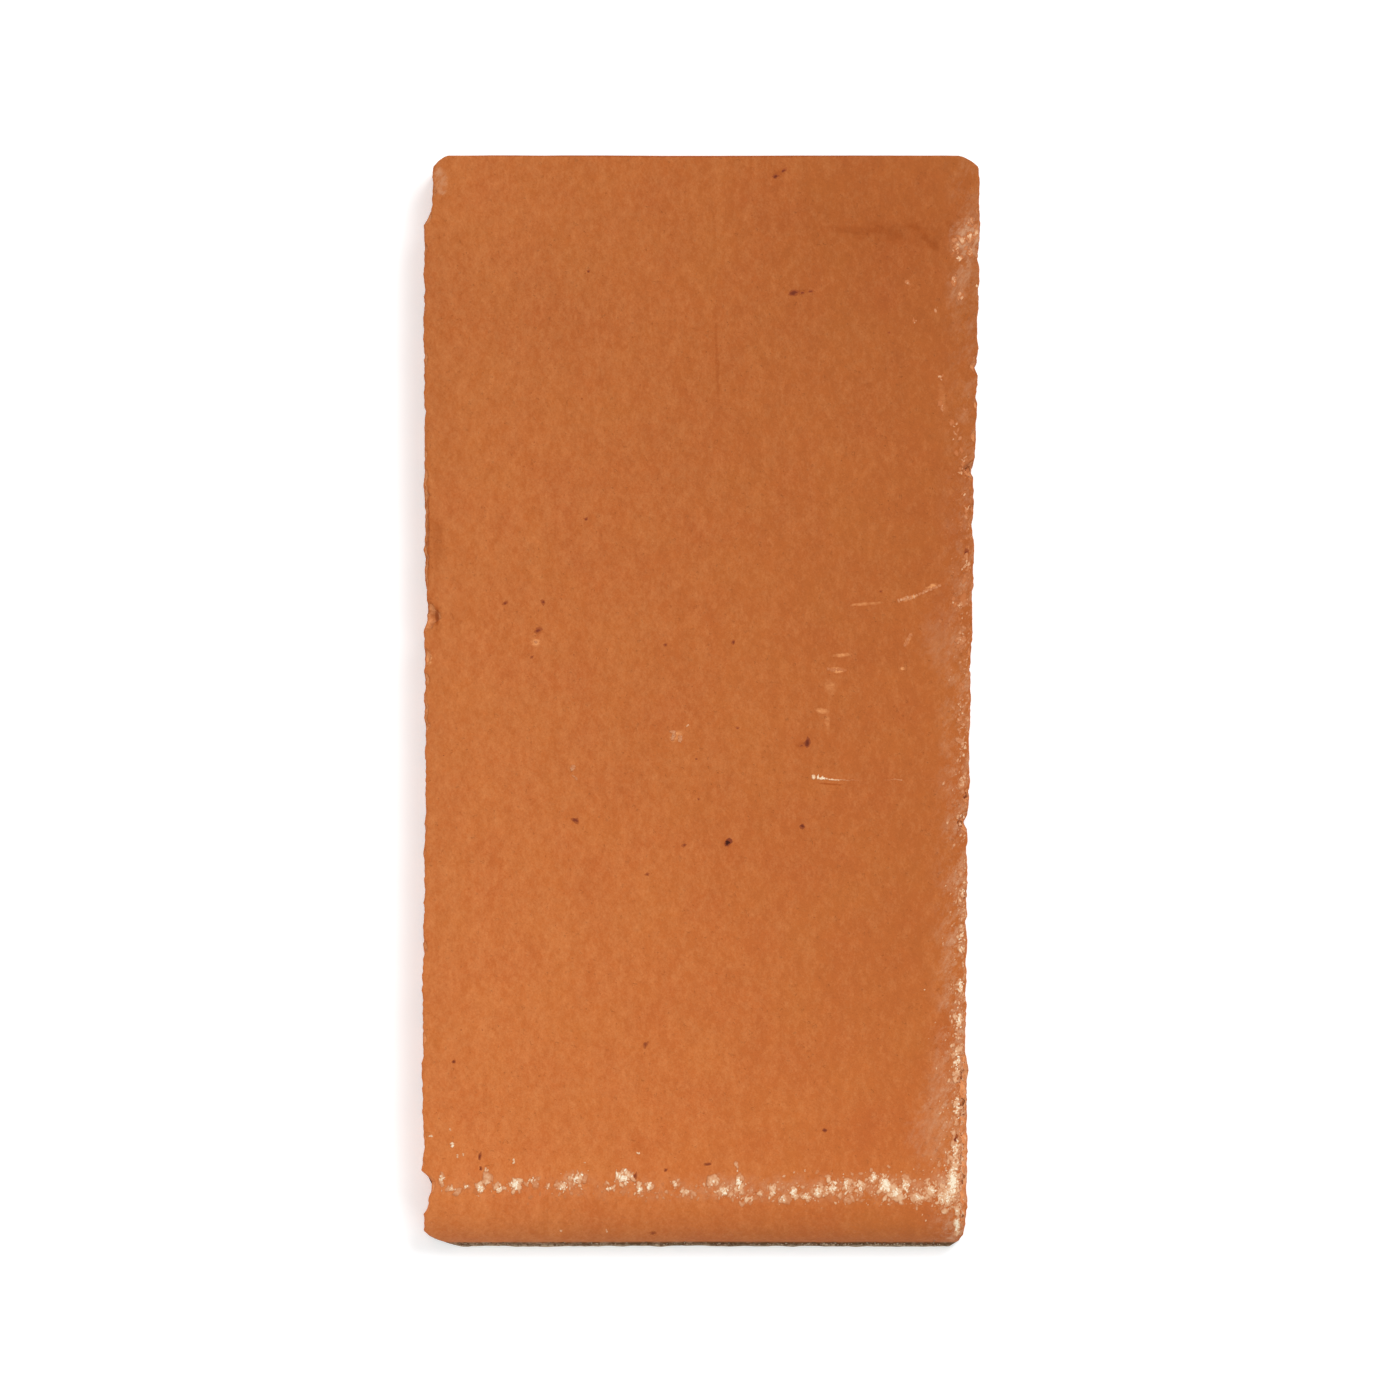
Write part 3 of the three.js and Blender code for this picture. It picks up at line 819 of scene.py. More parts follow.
# Iron spots burnt out of the clay: (x, y, half length, half width, turn in degrees, strength)
IRON_SPOTS = (
    (7.6, -39.4, 1.0, 0.85, 20, 1.0), (29.6, -12.1, 1.2, 0.85, 80, 0.7), (27.9, -12.8, 0.6, 0.35, 20, 0.3),
    (25.8, 111.9, 1.2, 0.7, 10, 0.66), (28.2, 112.0, 0.6, 0.4, 0, 0.45), (30.5, 112.4, 0.7, 0.35, 15, 0.35),
    (20.8, 144.1, 0.8, 0.5, 30, 0.7), (23.0, 145.7, 0.8, 0.4, 35, 0.45), (28.2, -35.0, 0.65, 0.5, 160, 0.7),
    (-4.3, -40.2, 0.6, 0.4, 10, 0.35), (-34.3, -33.3, 0.95, 0.55, 150, 0.5), (-31.3, 49.6, 0.5, 0.4, 0, 0.4),
    (-53.6, 26.4, 0.6, 0.45, 40, 0.4), (-43.1, 26.7, 0.6, 0.45, 100, 0.45), (-44.5, 18.9, 0.9, 0.5, 30, 0.5),
    (-9.5, 14.9, 0.5, 0.4, 0, 0.35), (9.2, 15.7, 0.5, 0.4, 60, 0.45), (-30.7, 117.9, 0.4, 0.35, 0, 0.4),
    (-67.6, -99.7, 0.5, 0.4, 30, 0.5), (34.3, -118.5, 0.6, 0.5, 0, 0.6), (2.1, -127.8, 1.1, 0.4, 5, 0.35),
    (10.3, -8.0, 0.4, 0.3, 0, 0.3), (-1.0, -16.5, 0.35, 0.3, 0, 0.3), (-0.4, -27.5, 0.35, 0.3, 0, 0.3),
    (-14.5, -48.2, 0.45, 0.4, 0, 0.3), (-15.0, -95.0, 0.8, 0.6, 80, 0.3), (73.2, 40.2, 0.9, 0.5, 95, 0.7),
    (70.0, -120.6, 0.7, 1.3, 10, 0.5), (-46.2, 11.6, 0.5, 0.3, 45, 0.3), (52.0, 101.0, 0.35, 0.3, 0, 0.3),
    (-60.4, -125.6, 0.9, 0.35, 85, 0.5), (-60.2, -129.0, 0.5, 0.3, 80, 0.45),
    (-17.8, -131.0, 0.8, 0.5, 60, 0.35), (-9.4, -129.4, 0.5, 0.4, 0, 0.35),
    (-12.8, -146.6, 0.7, 0.5, 0, 0.25),
    (49.7, 29.6, 0.4, 0.35, 0, 0.3),
)
IRON_HALO = 2.2
IRON_HALO_STRENGTH = 0.42
IRON_CORE = 1.2
IRON_THICKNESS = 0.02
SPECK_THICKNESS = 0.01
HALO_THICKNESS = 0.008
SPECKS = 170
SPECK_X = (LEFT + 4, 68.0)
SPECK_Y = (FRONT + 8, BUTT - 3)
SPECK_SIZE = (-1.75, 0.35)
GRIT_GRAINS = 760
GRIT_X = (LEFT + 8, 66.0)
GRIT_FREE = 0.1
GRIT_REACH = 0.4
GRIT_LIMIT = 1.4
GRIT_SIZE = (-1.2, 0.45)
GRIT_THICK_FROM = 20.0
GRIT_THIN_STRENGTH = 0.6


def iron_domes():
    """The iron spots, and fine dark specks all over the wear face."""
    random = np.random.default_rng(31)
    domes = []
    for x, y, long, wide, turn, strong in IRON_SPOTS:
        turn = math.radians(turn)
        halo = (HALO_THICKNESS, strong * IRON_HALO_STRENGTH)
        domes.append((x, y, long * IRON_HALO, wide * IRON_HALO, turn, *halo))
        domes.append((x, y, long * IRON_CORE, wide * IRON_CORE, turn, IRON_THICKNESS, strong))
    for _ in range(SPECKS):
        place = (random.uniform(*SPECK_X), random.uniform(*SPECK_Y))
        half = random.lognormal(*SPECK_SIZE)
        turn = random.uniform(0, math.pi)
        wide = half * random.uniform(0.6, 1)
        domes.append((*place, half, wide, turn, SPECK_THICKNESS, random.uniform(0.1, 0.3)))
    return domes


def foot_domes():
    """Mortar grit on the foot of the nose, fainter on its left."""
    random = np.random.default_rng(37)
    domes = []
    for _ in range(GRIT_GRAINS):
        x = random.uniform(*GRIT_X)
        y = FRONT + GRIT_FREE + min(random.exponential(GRIT_REACH), GRIT_LIMIT)
        half = random.lognormal(*GRIT_SIZE)
        strong = random.uniform(0.2, 1.0) * (1.0 if x > GRIT_THICK_FROM else GRIT_THIN_STRENGTH)
        turn = random.normal(0, 0.5)
        wide = half * random.uniform(0.4, 0.8)
        domes.append((x, y, half, wide, turn, random.uniform(0.05, 0.2), strong))
    return domes


# ---------------------------------------------------------------- materials

CLAY = (0.446, 0.123, 0.027)
CLAY_RED = (0.41, 0.092, 0.022)
CLAY_PALE = (0.565, 0.21, 0.07)
CLAY_RAW = (0.58, 0.185, 0.055)
# Lighter orange of broken clay, partly a painted highlight
CHIP_AND_HIGHLIGHT = (0.76, 0.31, 0.12)
# Dark colour of the stains, also used for painted shade
DAMP_AND_SHADE = (0.3, 0.055, 0.005)
HAZE = (0.63, 0.37, 0.22)
# Tan of the smears, also the painted highlight on the left arris
SMEAR_AND_HIGHLIGHT = (0.76, 0.32, 0.12)
LIME_RIM = (0.45, 0.128, 0.034)
LIME_RIM_NOSE = (0.5, 0.15, 0.042)
LIME_MID = (0.72, 0.42, 0.235)
LIME_CORE = (0.88, 0.77, 0.58)
SOOT = (0.05, 0.013, 0.008)
MORTAR = (0.4, 0.29, 0.19)
# Dirt on the foot, also the painted shade in its crease
DIRT_AND_SHADE = (0.09, 0.052, 0.024)
GRIT_DARK = (0.16, 0.085, 0.045)
GRIT_PALE = (0.66, 0.53, 0.38)
IRON_RIM = (0.4, 0.105, 0.028)
IRON_BROWN = (0.2, 0.042, 0.018)
BRUSHED = math.radians(58)  # the way the wear face was smoothed when wet
BALL = 2.0  # how far the fading ball that a spot is cut from reaches past the spot
SPOT_SOFTNESS = 0.3
THROUGH = 1e6  # a spot goes through the whole thickness
FLANK_SHIFT = 0.06  # how far apart a lump's two flanks are, in lumps
FINE = 2.6
BROAD = 9.0
CLOUD = 48.0
HAZED_CREST = 134.4
HAZE_LIMIT = 0.8
SMEAR_AND_HIGHLIGHT_LIMIT = 0.9


class Shade:
    """A number that varies over a surface. Sums and products of shades become Math nodes."""

    def __init__(self, tree, socket):
        self.tree = tree
        self.socket = socket

    def math(self, operation, *others):
        """The result of a Math node on this and others."""
        node = self.tree.nodes.new("ShaderNodeMath")
        node.operation = operation
        for place, value in zip(node.inputs, (self, *others)):
            feed(self.tree, place, value)
        return Shade(self.tree, node.outputs[0])

    def __add__(self, other):
        return self.math("ADD", other)

    def __sub__(self, other):
        return self.math("SUBTRACT", other)

    def __mul__(self, other):
        return self.math("MULTIPLY", other)

    __radd__ = __add__
    __rmul__ = __mul__

    def ramp(self, start, end, low=0.0, high=1.0):
        """Smooth from low to high as this goes from start to end."""
        node = self.tree.nodes.new("ShaderNodeMapRange")
        node.interpolation_type = "SMOOTHSTEP"
        feed(self.tree, node.inputs["Value"], self)
        for name, value in (("From Min", start), ("From Max", end), ("To Min", low), ("To Max", high)):
            node.inputs[name].default_value = value
        return Shade(self.tree, node.outputs["Result"])


def feed(tree, place, value):
    """Sets a socket to a shade, another socket or a constant."""
    if isinstance(value, Shade):
        tree.links.new(value.socket, place)
    elif isinstance(value, bpy.types.NodeSocket):
        tree.links.new(value, place)
    else:
        place.default_value = value


class Paint:
    """A material under construction, painted in object coordinates."""

    def __init__(self, name):
        self.material = bpy.data.materials.new(name)
        self.material.use_nodes = True
        self.tree = self.material.node_tree
        self.surface = self.tree.nodes["Principled BSDF"]
        self.place = self.tree.nodes.new("ShaderNodeTexCoord").outputs["Object"]
        split = self.tree.nodes.new("ShaderNodeSeparateXYZ")
        self.tree.links.new(self.place, split.inputs[0])
        self.x, self.y, self.z = (Shade(self.tree, out) * (1 / MM) for out in split.outputs)

    def normal_axis(self, name):
        """One axis of the surface's normal."""
        split = self.tree.nodes.new("ShaderNodeSeparateXYZ")
        geometry = self.tree.nodes.new("ShaderNodeNewGeometry")
        self.tree.links.new(geometry.outputs["Normal"], split.inputs[0])
        return Shade(self.tree, split.outputs[name])

    def mapped(self, location, scale, turn=0.0):
        """Object coordinates seen from a place, in units of scale, all in millimetres."""
        node = self.tree.nodes.new("ShaderNodeMapping")
        node.vector_type = "TEXTURE"
        self.tree.links.new(self.place, node.inputs["Vector"])
        node.inputs["Location"].default_value = [v * MM for v in location]
        node.inputs["Rotation"].default_value = (0, 0, turn)
        node.inputs["Scale"].default_value = [v * MM for v in scale]
        return node.outputs["Vector"]

    def grain(self, size, detail=3.0, rough=0.55, stretch=(1, 1, 1), seed=0.0, turn=0.0):
        """Noise about 0, from about -0.5 to 0.5, with lumps of that size in millimetres."""
        node = self.tree.nodes.new("ShaderNodeTexNoise")
        node.noise_dimensions = "3D"
        scale = [size * s for s in stretch]
        self.tree.links.new(self.mapped((seed * size, 0, 0), scale, turn), node.inputs["Vector"])
        node.inputs["Scale"].default_value = 1.0
        node.inputs["Detail"].default_value = detail
        node.inputs["Roughness"].default_value = rough
        return Shade(self.tree, node.outputs[0]) - 0.5

    def lit_grain(self, size, detail, rough, seed):
        """Grain as light from the side shows it: one flank of each lump bright, the other dark."""
        near = self.grain(size, detail, rough, seed=seed)
        return near - self.grain(size, detail, rough, seed=seed + FLANK_SHIFT)

    def spot(self, x, y, half_x, half_y, turn, ragged):
        """1 inside a soft ellipse on the wear face and 0 outside it."""
        ball = self.tree.nodes.new("ShaderNodeTexGradient")
        ball.gradient_type = "SPHERICAL"
        reach = (half_x * BALL, half_y * BALL, THROUGH)
        self.tree.links.new(self.mapped((x, y, 0), reach, math.radians(turn)), ball.inputs["Vector"])
        inside = Shade(self.tree, ball.outputs["Fac"]) - self.ragged * (ragged / BALL)
        return inside.ramp(1 - 1 / BALL, 1 - SPOT_SOFTNESS / BALL)

    def mix(self, under, over, share):
        """One colour over another."""
        node = self.tree.nodes.new("ShaderNodeMix")
        node.data_type = "RGBA"
        node.clamp_factor = True
        feed(self.tree, node.inputs["Factor"], share)
        for name, colour in (("A_Color", under), ("B_Color", over)):
            place = next(s for s in node.inputs if s.identifier == name)
            feed(self.tree, place, (*colour, 1.0) if isinstance(colour, tuple) else colour)
        return next(s for s in node.outputs if s.identifier == "Result_Color")

    def scaled(self, colour, amount):
        """A colour made brighter or darker by a shade."""
        node = self.tree.nodes.new("ShaderNodeVectorMath")
        node.operation = "SCALE"
        self.tree.links.new(colour, node.inputs[0])
        feed(self.tree, node.inputs["Scale"], amount)
        return node.outputs[0]

    def attribute(self, name):
        """A value that the mesh carries at its points."""
        node = self.tree.nodes.new("ShaderNodeAttribute")
        node.attribute_name = name
        return Shade(self.tree, node.outputs["Fac"])

    def finish(self, colour, height, roughness, specular, relief):
        """Colour, gloss and fine relief in millimetres."""
        feed(self.tree, self.surface.inputs["Base Color"], colour)
        feed(self.tree, self.surface.inputs["Roughness"], roughness)
        self.surface.inputs["Specular IOR Level"].default_value = specular
        bump = self.tree.nodes.new("ShaderNodeBump")
        bump.inputs["Strength"].default_value = 1.0
        bump.inputs["Distance"].default_value = relief * MM
        feed(self.tree, bump.inputs["Height"], height)
        self.tree.links.new(bump.outputs["Normal"], self.surface.inputs["Normal"])
        return self.material


BROAD_STAIN_RAGGEDNESS = 1.4
STAIN_AND_SHADOW_RAGGEDNESS = 1.2
SMEAR_AND_HIGHLIGHT_RAGGEDNESS = 1.3
PALE_RAGGEDNESS = 1.6
# Damp-looking stains on the wear face, and painted shade: a dark line along the left arris, a dark crescent
# in the chip on the left arris and a shadow under the bright scratch. Each is (x, y, half x, half y, turn in
# degrees, share), a broad one first
STAINS_AND_SHADOWS = (
    (56.0, 128.5, 17.0, 4.4, -2, 0.22), (49.2, 129.8, 2.4, 1.5, 10, 0.3), (54.4, 128.0, 1.6, 1.8, -30, 0.32),
    (59.1, 130.2, 2.2, 1.4, -20, 0.4), (61.8, 127.8, 1.5, 1.9, 10, 0.36), (64.2, 125.2, 2.6, 1.7, -40, 0.4),
    (44.8, 126.8, 1.3, 1.4, 0, 0.3), (68.6, 130.9, 1.8, 1.4, 0, 0.28), (44.0, 131.0, 34.0, 20.0, 0, 0.1),
    (4.7, 92.5, 0.7, 15.0, 2, 0.36), (-59.1, -109.0, 0.9, 12.0, 0, 0.18), (-4.0, 12.0, 1.6, 9.0, 10, 0.14),
    (27.8, -12.6, 2.4, 0.9, 10, 0.35), (7.6, -39.6, 1.7, 1.5, 0, 0.4), (26.5, 112.0, 4.0, 1.2, 5, 0.3),
    (71.0, -36.0, 1.4, 2.6, 0, 0.45), (36.0, -23.4, 4.6, 0.35, -4, 0.6), (22.0, 145.0, 2.4, 1.2, 30, 0.35),
    (-44.3, 18.6, 1.1, 2.0, -20, 0.45), (-72.2, 44.0, 2.4, 11.0, 0, 0.3), (-72.3, 22.4, 0.75, 3.9, 0, 0.75),
    (-74.8, 46.0, 0.7, 17.0, 0, 0.5), (42.0, 129.3, 12.0, 1.7, -2, 0.26), (0.0, 149.9, 90.0, 0.7, 0, 0.55),
)
# Patches of lime haze: the same form
PALE_PATCHES = (
    (66.0, 16.0, 7.0, 12.0, 10, 0.12), (74.0, 126.5, 5.8, 7.5, -10, 0.55), (71.0, 114.0, 3.6, 9.0, -16, 0.22),
    (-71.6, 143.0, 2.6, 5.0, 0, 0.3), (66.0, -104.0, 5.0, 14.0, -12, 0.14),
    (64.0, -118.0, 8.0, 14.0, -20, 0.18), (-20.5, -131.5, 3.4, 2.6, 0, 0.3),
    (-34.5, -132.0, 4.6, 3.0, 0, 0.3), (8.0, -134.0, 8.0, 3.4, -4, 0.3),
)
# Tan smears where the face was rubbed, and raw spots on the left arris with a painted highlight: the same
# form
SMEARS_AND_HIGHLIGHTS = (
    (45.5, 26.2, 5.8, 0.6, 4, 0.4), (57.2, 27.8, 3.0, 0.85, 13, 0.95), (63.8, 31.0, 2.7, 0.9, 26, 0.75),
    (38.9, 12.1, 3.2, 0.75, 4, 0.6), (37.6, 8.1, 2.7, 0.95, -3, 0.75), (35.6, 3.4, 2.4, 2.6, 20, 0.3),
    (33.7, -3.2, 2.3, 0.95, -6, 0.6), (35.0, -7.0, 0.9, 3.2, 4, 0.35), (57.2, 16.3, 0.8, 2.3, -28, 0.75),
    (55.7, 8.4, 0.75, 0.6, 0, 0.75), (-6.4, -10.3, 2.6, 1.7, 25, 0.55), (-45.2, 15.6, 1.7, 1.1, 0, 0.8),
    (-74.5, 11.4, 1.0, 2.4, 4, 1.0), (-75.2, 22.8, 1.3, 3.2, 0, 0.7), (66.6, 84.0, 1.2, 5.0, 4, 0.14),
)


def clay_tone_and_shade(paint):
    """How bright the clay is, about 1: brighter towards the nose and the left, with painted shade by the left
    side and down the lower nose, and mottling and grain.
    """
    rise = (paint.y * -0.00098).math("MAXIMUM", -0.1) + (paint.y * -1 - 45).math("MAXIMUM", 0.0) * 0.0006
    across = paint.x * -0.0011
    # Painted shade: darker within 16 mm of the left side, where the arris turns from the light
    painted_left_shade = (paint.x - LEFT).ramp(16, 0, 0.0, -0.045)
    # Painted shade: darker down the lower nose, where it turns from the light
    painted_nose_shade = paint.z.ramp(19, 7, 0.0, -0.24) * paint.y.ramp(-130, -136)
    mottle = 0.24 * paint.grain(FINE, 3, 0.95, seed=2) + 0.06 * paint.grain(BROAD, 2, 0.5, seed=1)
    cloud = 0.1 * paint.grain(CLOUD, 2, 0.5, seed=4)
    return 1.0 + (rise + across + painted_left_shade + painted_nose_shade + mottle + cloud)


def stain_and_shade_share(paint):
    """How dark the clay looks, from its stains and its painted shade."""
    *broad, share = STAINS_AND_SHADOWS[0]
    unmarked = 1.0 + paint.spot(*broad, BROAD_STAIN_RAGGEDNESS) * -share
    for *stain, share in STAINS_AND_SHADOWS[1:]:
        unmarked = unmarked * (1.0 + paint.spot(*stain, STAIN_AND_SHADOW_RAGGEDNESS) * -share)
    return unmarked * -1.0 + 1.0


def arris_haze(paint):
    """The lime haze along the right arris, strongest near the nose."""
    inwards = paint.x * -1 + (RIGHT - BUTT * SIDE_SLOPE) + paint.y * SIDE_SLOPE
    near = inwards.ramp(12, 0.2)
    along = paint.y.ramp(96, -118, 0.22, 0.85)
    patchy = paint.grain(5, 5, 0.85, stretch=(1.4, 0.9, 1), seed=7, turn=BRUSHED) * 5.0 + 0.2
    streak = paint.grain(1.2, 3, 0.8, stretch=(1.8, 0.9, 1), seed=8, turn=BRUSHED) * 2.2 + 0.85
    return near * along * patchy.math("MAXIMUM", 0.0) * streak.math("MAXIMUM", 0.0)


def crest_haze(paint):
    """The lime haze along the crest of the nose, denser to the right."""
    across = (paint.y + HAZED_CREST).math("ABSOLUTE").ramp(5.2, 0.6)
    along = paint.x.ramp(-60, 66, 0.08, 0.5)
    patchy = (paint.grain(3.4, 4, 0.62, seed=9) * 3.2 + 0.3).math("MAXIMUM", 0.0)
    return across * along * patchy


def patches(paint, table, ragged):
    """The summed share of a table's ragged patches."""
    total = 0.0
    for *patch, share in table:
        total = paint.spot(*patch, ragged) * share + total
    return total


def dust_and_highlight_colour(paint, colour, painted_flank_light):
    """Pale dust in the clay's grain over another colour, with a painted highlight on the lit flank of each
    lump.
    """
    dust_and_highlight = 1.0 * paint.grain(FINE, 3, 0.95, seed=10) + 0.2 * paint.grain(BROAD, 2, 0.5, seed=18)
    # Painted highlight: paler on the lit flank of each lump
    dust_and_highlight = dust_and_highlight + painted_flank_light * 2.6
    return paint.mix(colour, CLAY_PALE, dust_and_highlight + paint.x * -0.0014 + 0.12)


def cut_colour(paint, colour, side, strand):
    """The raw clay of the wire-cut sides over another colour."""
    raw = paint.mix(CLAY_RAW, CLAY_RED, strand * 1.3 + 0.4)
    return paint.mix(colour, raw, side * 0.85)


def chipped_colour(paint, colour, broken):
    """The lighter orange of the chips over another colour: broken clay, with a painted highlight where the
    chips catch the light.
    """
    fresh_and_lit = broken.ramp(0.3, 1.0) * (paint.grain(FINE, 3, 0.6, seed=19) * 3.0 + 0.45)
    return paint.mix(colour, CHIP_AND_HIGHLIGHT, fresh_and_lit.math("MINIMUM", 0.8))


def smear_and_highlight_colour(paint, colour, side):
    """The tan smears of the wear face, and the painted highlights on the left arris, over another colour."""
    streak = paint.grain(1.1, 3, 0.7, stretch=(1.8, 0.8, 1), seed=22) * 3.4 + 0.85
    streak = streak.math("MAXIMUM", 0.0)
    smear_and_highlight = patches(paint, SMEARS_AND_HIGHLIGHTS, SMEAR_AND_HIGHLIGHT_RAGGEDNESS) * streak * side.ramp(1, 0)
    return paint.mix(colour, SMEAR_AND_HIGHLIGHT, smear_and_highlight.math("MINIMUM", SMEAR_AND_HIGHLIGHT_LIMIT))


def hazed_colour(paint, colour, side):
    """The lime haze over another colour: in patches, on the crest and inside the right arris."""
    pale = patches(paint, PALE_PATCHES, PALE_RAGGEDNESS)
    streak = paint.grain(1.5, 4, 0.65, stretch=(2.0, 0.7, 1), seed=17, turn=BRUSHED) * 3.6 + 0.75
    haze = arris_haze(paint) + crest_haze(paint) + pale * streak.math("MAXIMUM", 0.0)
    haze = haze * side.ramp(1, 0)
    return paint.mix(colour, HAZE, haze.math("MINIMUM", HAZE_LIMIT))


def foot_colour(paint, colour):
    """The mortar and dirt on the foot over another colour, with painted shade darkest in the crease under the
    nose; paler towards the front edge and on the left.
    """
    outward = (paint.y - FRONT) * -1.0
    foot = paint.z.ramp(4.6, 2.4) * outward.ramp(-3.6, -1.6)
    dusty = paint.grain(1.8, 4, 0.65, seed=12)
    # Painted shade: the dark colour stays in the crease under the nose, the pale mortar towards the front
    # edge
    mortar_share = dusty * 2.6 + outward.ramp(-0.7, 0.1) * 0.8 + paint.x.ramp(20, -60, 0, 0.32)
    grime_and_shade = paint.mix(DIRT_AND_SHADE, MORTAR, mortar_share.math("MAXIMUM", 0.0))
    return paint.mix(colour, grime_and_shade, foot)


def clay_relief(paint, side, strand):
    """The height of the clay's grain, its pores and the drag marks of its cut sides."""
    open_grain = paint.grain(0.55, 3, 0.65, seed=13) + paint.grain(1.9, 2, 0.5, seed=14) * 1.2
    pores = (paint.grain(1.3, 2, 0.5, seed=15) + 0.24).ramp(0.0, 0.05)
    return open_grain + pores * 0.5 + side * strand * 1.6


def clay_material():
    """Fired clay: matte and open-grained, hazed with lime, dirty at the foot, raw at the cut sides, with
    painted light and shade on its grain, chips, nose, left side and foot.
    """
    paint = Paint("fired_clay")
    paint.ragged = paint.grain(1.7, 3, 0.6, seed=6)
    broken = paint.attribute("broken")
    colour = paint.mix(CLAY, CLAY_RED, paint.grain(14, 3, 0.5, seed=5) * 1.1 + 0.22)
    # Painted light and shade on the grain: one flank of each lump bright, the other dark
    painted_flank_light = paint.lit_grain(5, 4, 0.52, 21)
    colour = dust_and_highlight_colour(paint, colour, painted_flank_light)
    side = paint.normal_axis("X").math("ABSOLUTE").ramp(0.55, 0.9)
    strand = paint.grain(1.6, 4, 0.6, stretch=(1, 0.9, 3.5), seed=11)
    colour = cut_colour(paint, colour, side, strand)
    # Chips: broken clay, partly painted highlight
    colour = chipped_colour(paint, colour, broken)
    # Stains and painted shade darken the clay
    colour = paint.mix(colour, DAMP_AND_SHADE, stain_and_shade_share(paint))
    # The clay's own tone, with painted shade and painted light on the grain, scales the colour here
    colour = paint.scaled(colour, clay_tone_and_shade(paint) + painted_flank_light * 0.5)
    # Tan smears, and painted highlights on the left arris
    colour = smear_and_highlight_colour(paint, colour, side)
    colour = hazed_colour(paint, colour, side)
    colour = foot_colour(paint, colour)
    height = clay_relief(paint, side, strand)
    roughness = paint.grain(4, 3, 0.5, seed=16) * 0.16 + 0.86
    return paint.finish(colour, height, roughness, 0.12, 0.23)


def lime_material():
    """Lime: chalky, cream at the core and thinning to the clay's colour at the rim."""
    paint = Paint("lime")
    strength = paint.attribute("strength")
    broken = paint.grain(0.7, 3, 0.6, seed=3) * 0.6
    thick = (strength + broken * strength.ramp(0.02, 0.3)).math("MAXIMUM", 0.0)
    rim = paint.mix(LIME_RIM, LIME_RIM_NOSE, paint.y.ramp(-60, -125))
    colour = paint.mix(rim, LIME_MID, thick.ramp(0.0, 0.5))
    colour = paint.mix(colour, LIME_CORE, thick.ramp(0.45, 0.9))
    height = paint.grain(0.3, 3, 0.7, seed=5)
    return paint.finish(colour, height, 0.94, 0.2, 0.08)


def iron_material():
    """Burnt iron: sooty at the core and browning into the clay."""
    paint = Paint("burnt_iron")
    strength = paint.attribute("strength") + paint.grain(0.4, 2, 0.6, seed=1) * 0.16
    colour = paint.mix(IRON_RIM, IRON_BROWN, strength.ramp(0.0, 0.42))
    colour = paint.mix(colour, SOOT, strength.ramp(0.45, 0.9))
    return paint.finish(colour, paint.grain(0.3, 3, 0.6, seed=2), 0.9, 0.03, 0.06)


def grit_material():
    """Mortar grit: tan and grey-brown grains."""
    paint = Paint("mortar_grit")
    strength = paint.attribute("strength") + paint.grain(0.7, 3, 0.6, seed=1) * 0.5
    colour = paint.mix(GRIT_DARK, MORTAR, strength.ramp(0.1, 0.5))
    colour = paint.mix(colour, GRIT_PALE, strength.ramp(0.6, 1.0))
    return paint.finish(colour, paint.grain(0.4, 3, 0.6, seed=2), 0.92, 0.2, 0.1)


# ---------------------------------------------------------------- the table, the light and the camera

TABLE_HALF = 40.0
TABLE_WHITE = (0.9, 0.93, 0.94, 1.0)
TABLE_ROUGHNESS = 0.9
TABLE_SPECULAR = 0.1
WHITE = (1.0, 1.0, 1.0, 1.0)
KEY = {"at": (0.62, 0.7, 1.6), "size": 0.8, "power": 18.0}
FILL = {"at": (-0.9, -0.7, 1.6), "size": 1.6, "power": 5.0}
WORLD_LEVEL = 0.68
TABLE_GLOW = 0.27  # keeps the table white all round, but for the tile's own shadow
LENS = 400.0
SENSOR = 36.0
VIEW_ELEVATION = 87.0
FRAME_WIDTH = 384.8
VIEW_CENTRE_Y = -0.25
CLIP_END = 100.0


def table_top():
    """A plain white table under the tile."""
    mesh = bpy.data.meshes.new("table_top")
    corners = [(-1, -1), (1, -1), (1, 1), (-1, 1)]
    mesh.from_pydata([(x * TABLE_HALF, y * TABLE_HALF, 0.0) for x, y in corners], [], [(0, 1, 2, 3)])
    table = bpy.data.objects.new("table_top", mesh)
    bpy.context.scene.collection.objects.link(table)
    material = bpy.data.materials.new("table_white")
    material.use_nodes = True
    surface = material.node_tree.nodes["Principled BSDF"]
    surface.inputs["Base Color"].default_value = TABLE_WHITE
    surface.inputs["Roughness"].default_value = TABLE_ROUGHNESS
    surface.inputs["Specular IOR Level"].default_value = TABLE_SPECULAR
    surface.inputs["Emission Color"].default_value = WHITE
    surface.inputs["Emission Strength"].default_value = TABLE_GLOW
    mesh.materials.append(material)


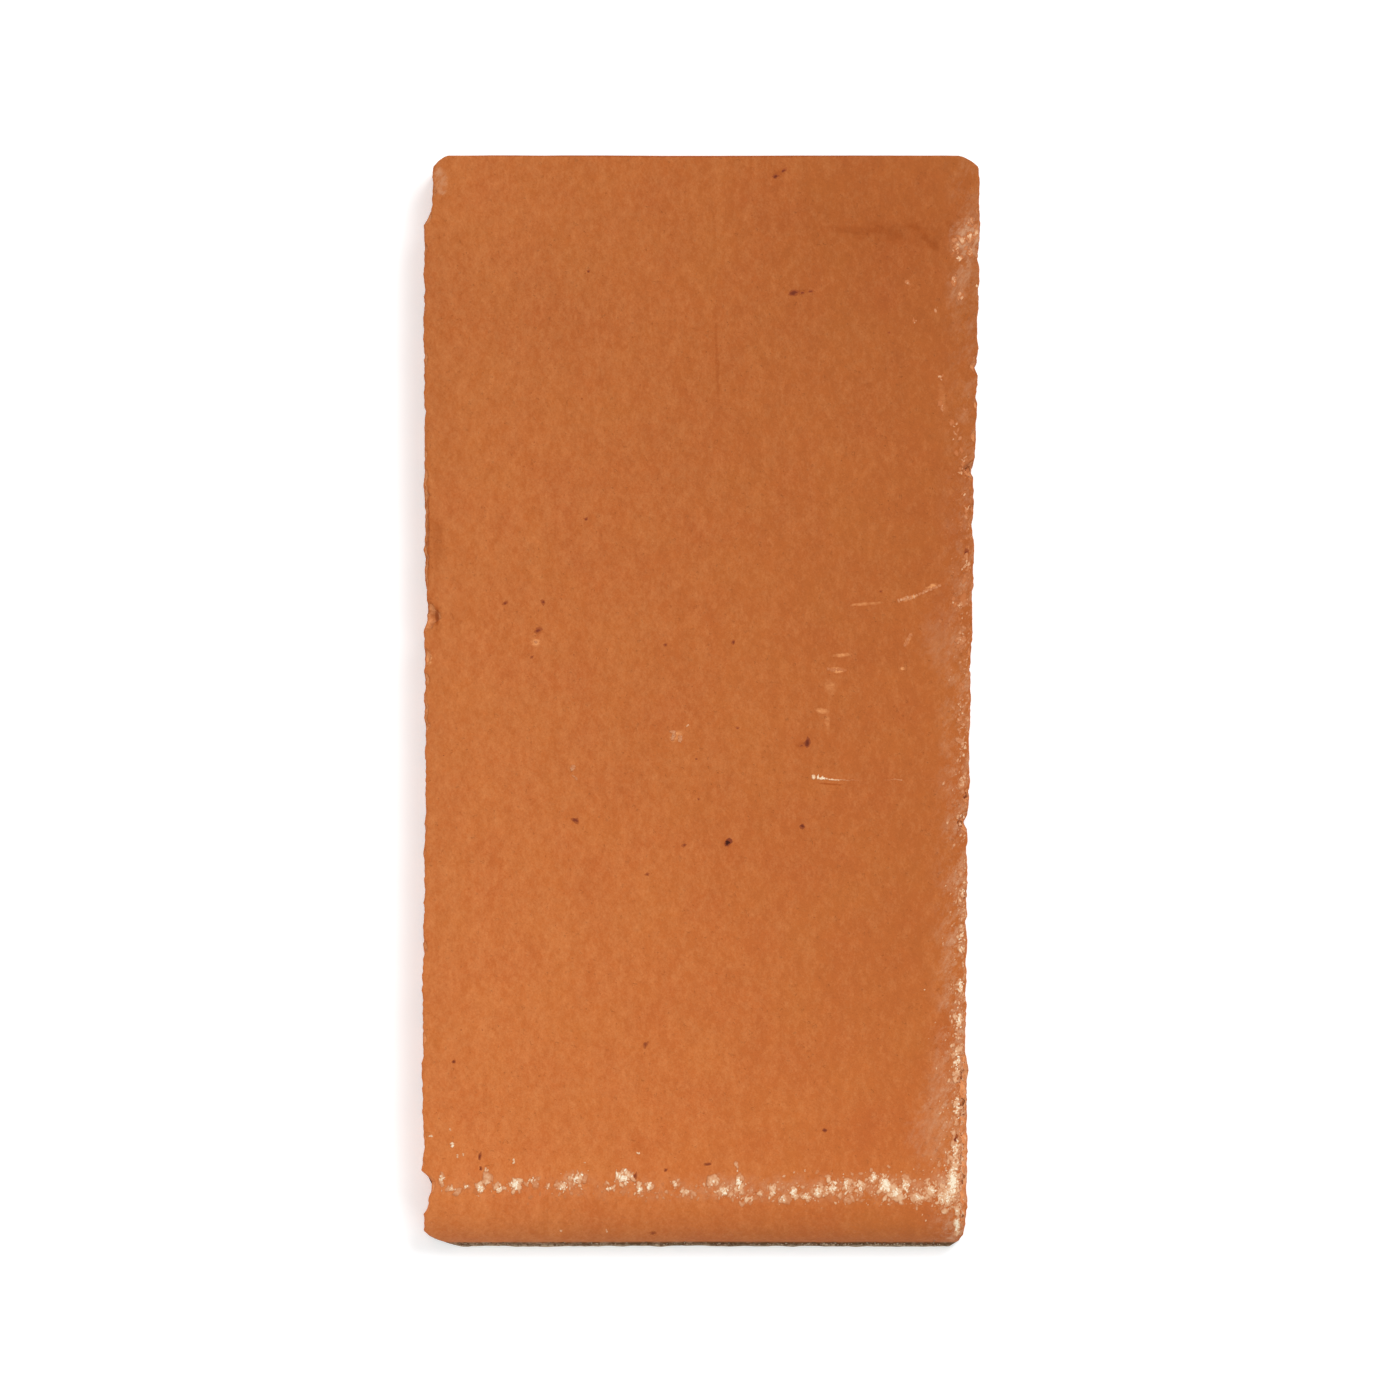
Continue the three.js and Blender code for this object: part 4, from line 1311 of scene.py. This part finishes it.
def area_light(name, light):
    """A square soft light aimed at the middle of the tile."""
    data = bpy.data.lights.new(name, "AREA")
    data.shape = "SQUARE"
    data.size = light["size"]
    data.energy = light["power"]
    lamp = bpy.data.objects.new(name, data)
    lamp.location = light["at"]
    lamp.rotation_euler = (-Vector(light["at"])).to_track_quat("-Z", "Y").to_euler()
    bpy.context.scene.collection.objects.link(lamp)


def surroundings():
    """A white room: even light from all round."""
    world = bpy.data.worlds.new("room")
    world.use_nodes = True
    background = world.node_tree.nodes["Background"]
    background.inputs["Color"].default_value = WHITE
    background.inputs["Strength"].default_value = WORLD_LEVEL
    bpy.context.scene.world = world
    bpy.context.scene.view_settings.view_transform = "Standard"


def camera():
    """A long lens almost straight above the wear face, a little towards the nose."""
    data = bpy.data.cameras.new("camera")
    data.lens = LENS
    data.sensor_width = SENSOR
    data.clip_end = CLIP_END
    distance = FRAME_WIDTH * MM * LENS / SENSOR
    tilt = math.radians(VIEW_ELEVATION)
    target = Vector((0, VIEW_CENTRE_Y, TOP)) * MM
    back = Vector((0, -math.cos(tilt), math.sin(tilt)))
    eye = bpy.data.objects.new("camera", data)
    eye.location = target + back * distance
    eye.rotation_mode = "QUATERNION"
    eye.rotation_quaternion = (-back).to_track_quat("-Z", "Y")
    bpy.context.scene.collection.objects.link(eye)
    bpy.context.scene.camera = eye


# ---------------------------------------------------------------- putting it together


def dress(piece, material, *nodes, slot=None):
    """Gives a piece its material and hides the CAD nodes that it stands for. The slot is not used."""
    piece.data.materials.append(material)
    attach(piece, "root")
    if nodes:
        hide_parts(*nodes)


clay_verts, clay_faces, clay_broken = clay_mesh()
clay = mesh_piece("fired_clay", clay_verts, clay_faces)
carry(clay, "broken", clay_broken)
clay_tree = BVHTree.FromPolygons(clay_verts.tolist(), clay_faces)
dress(clay, clay_material(), "tile_body", slot="terracotta")

lime = lime_material()
dress(nose_lime(clay_tree), lime, "lime_crust_nose", slot="lime")
dress(side_lime(clay_tree), lime, "lime_crust_side", slot="lime")
dress(face_lime(clay_tree), lime, slot="lime")
dress(dome_piece("iron_spots", clay_tree, iron_domes(), 32), iron_material())
dress(dome_piece("foot_grit", clay_tree, foot_domes(), 38), grit_material())

table_top()
area_light("key_light", KEY)
area_light("fill_light", FILL)
surroundings()
camera()
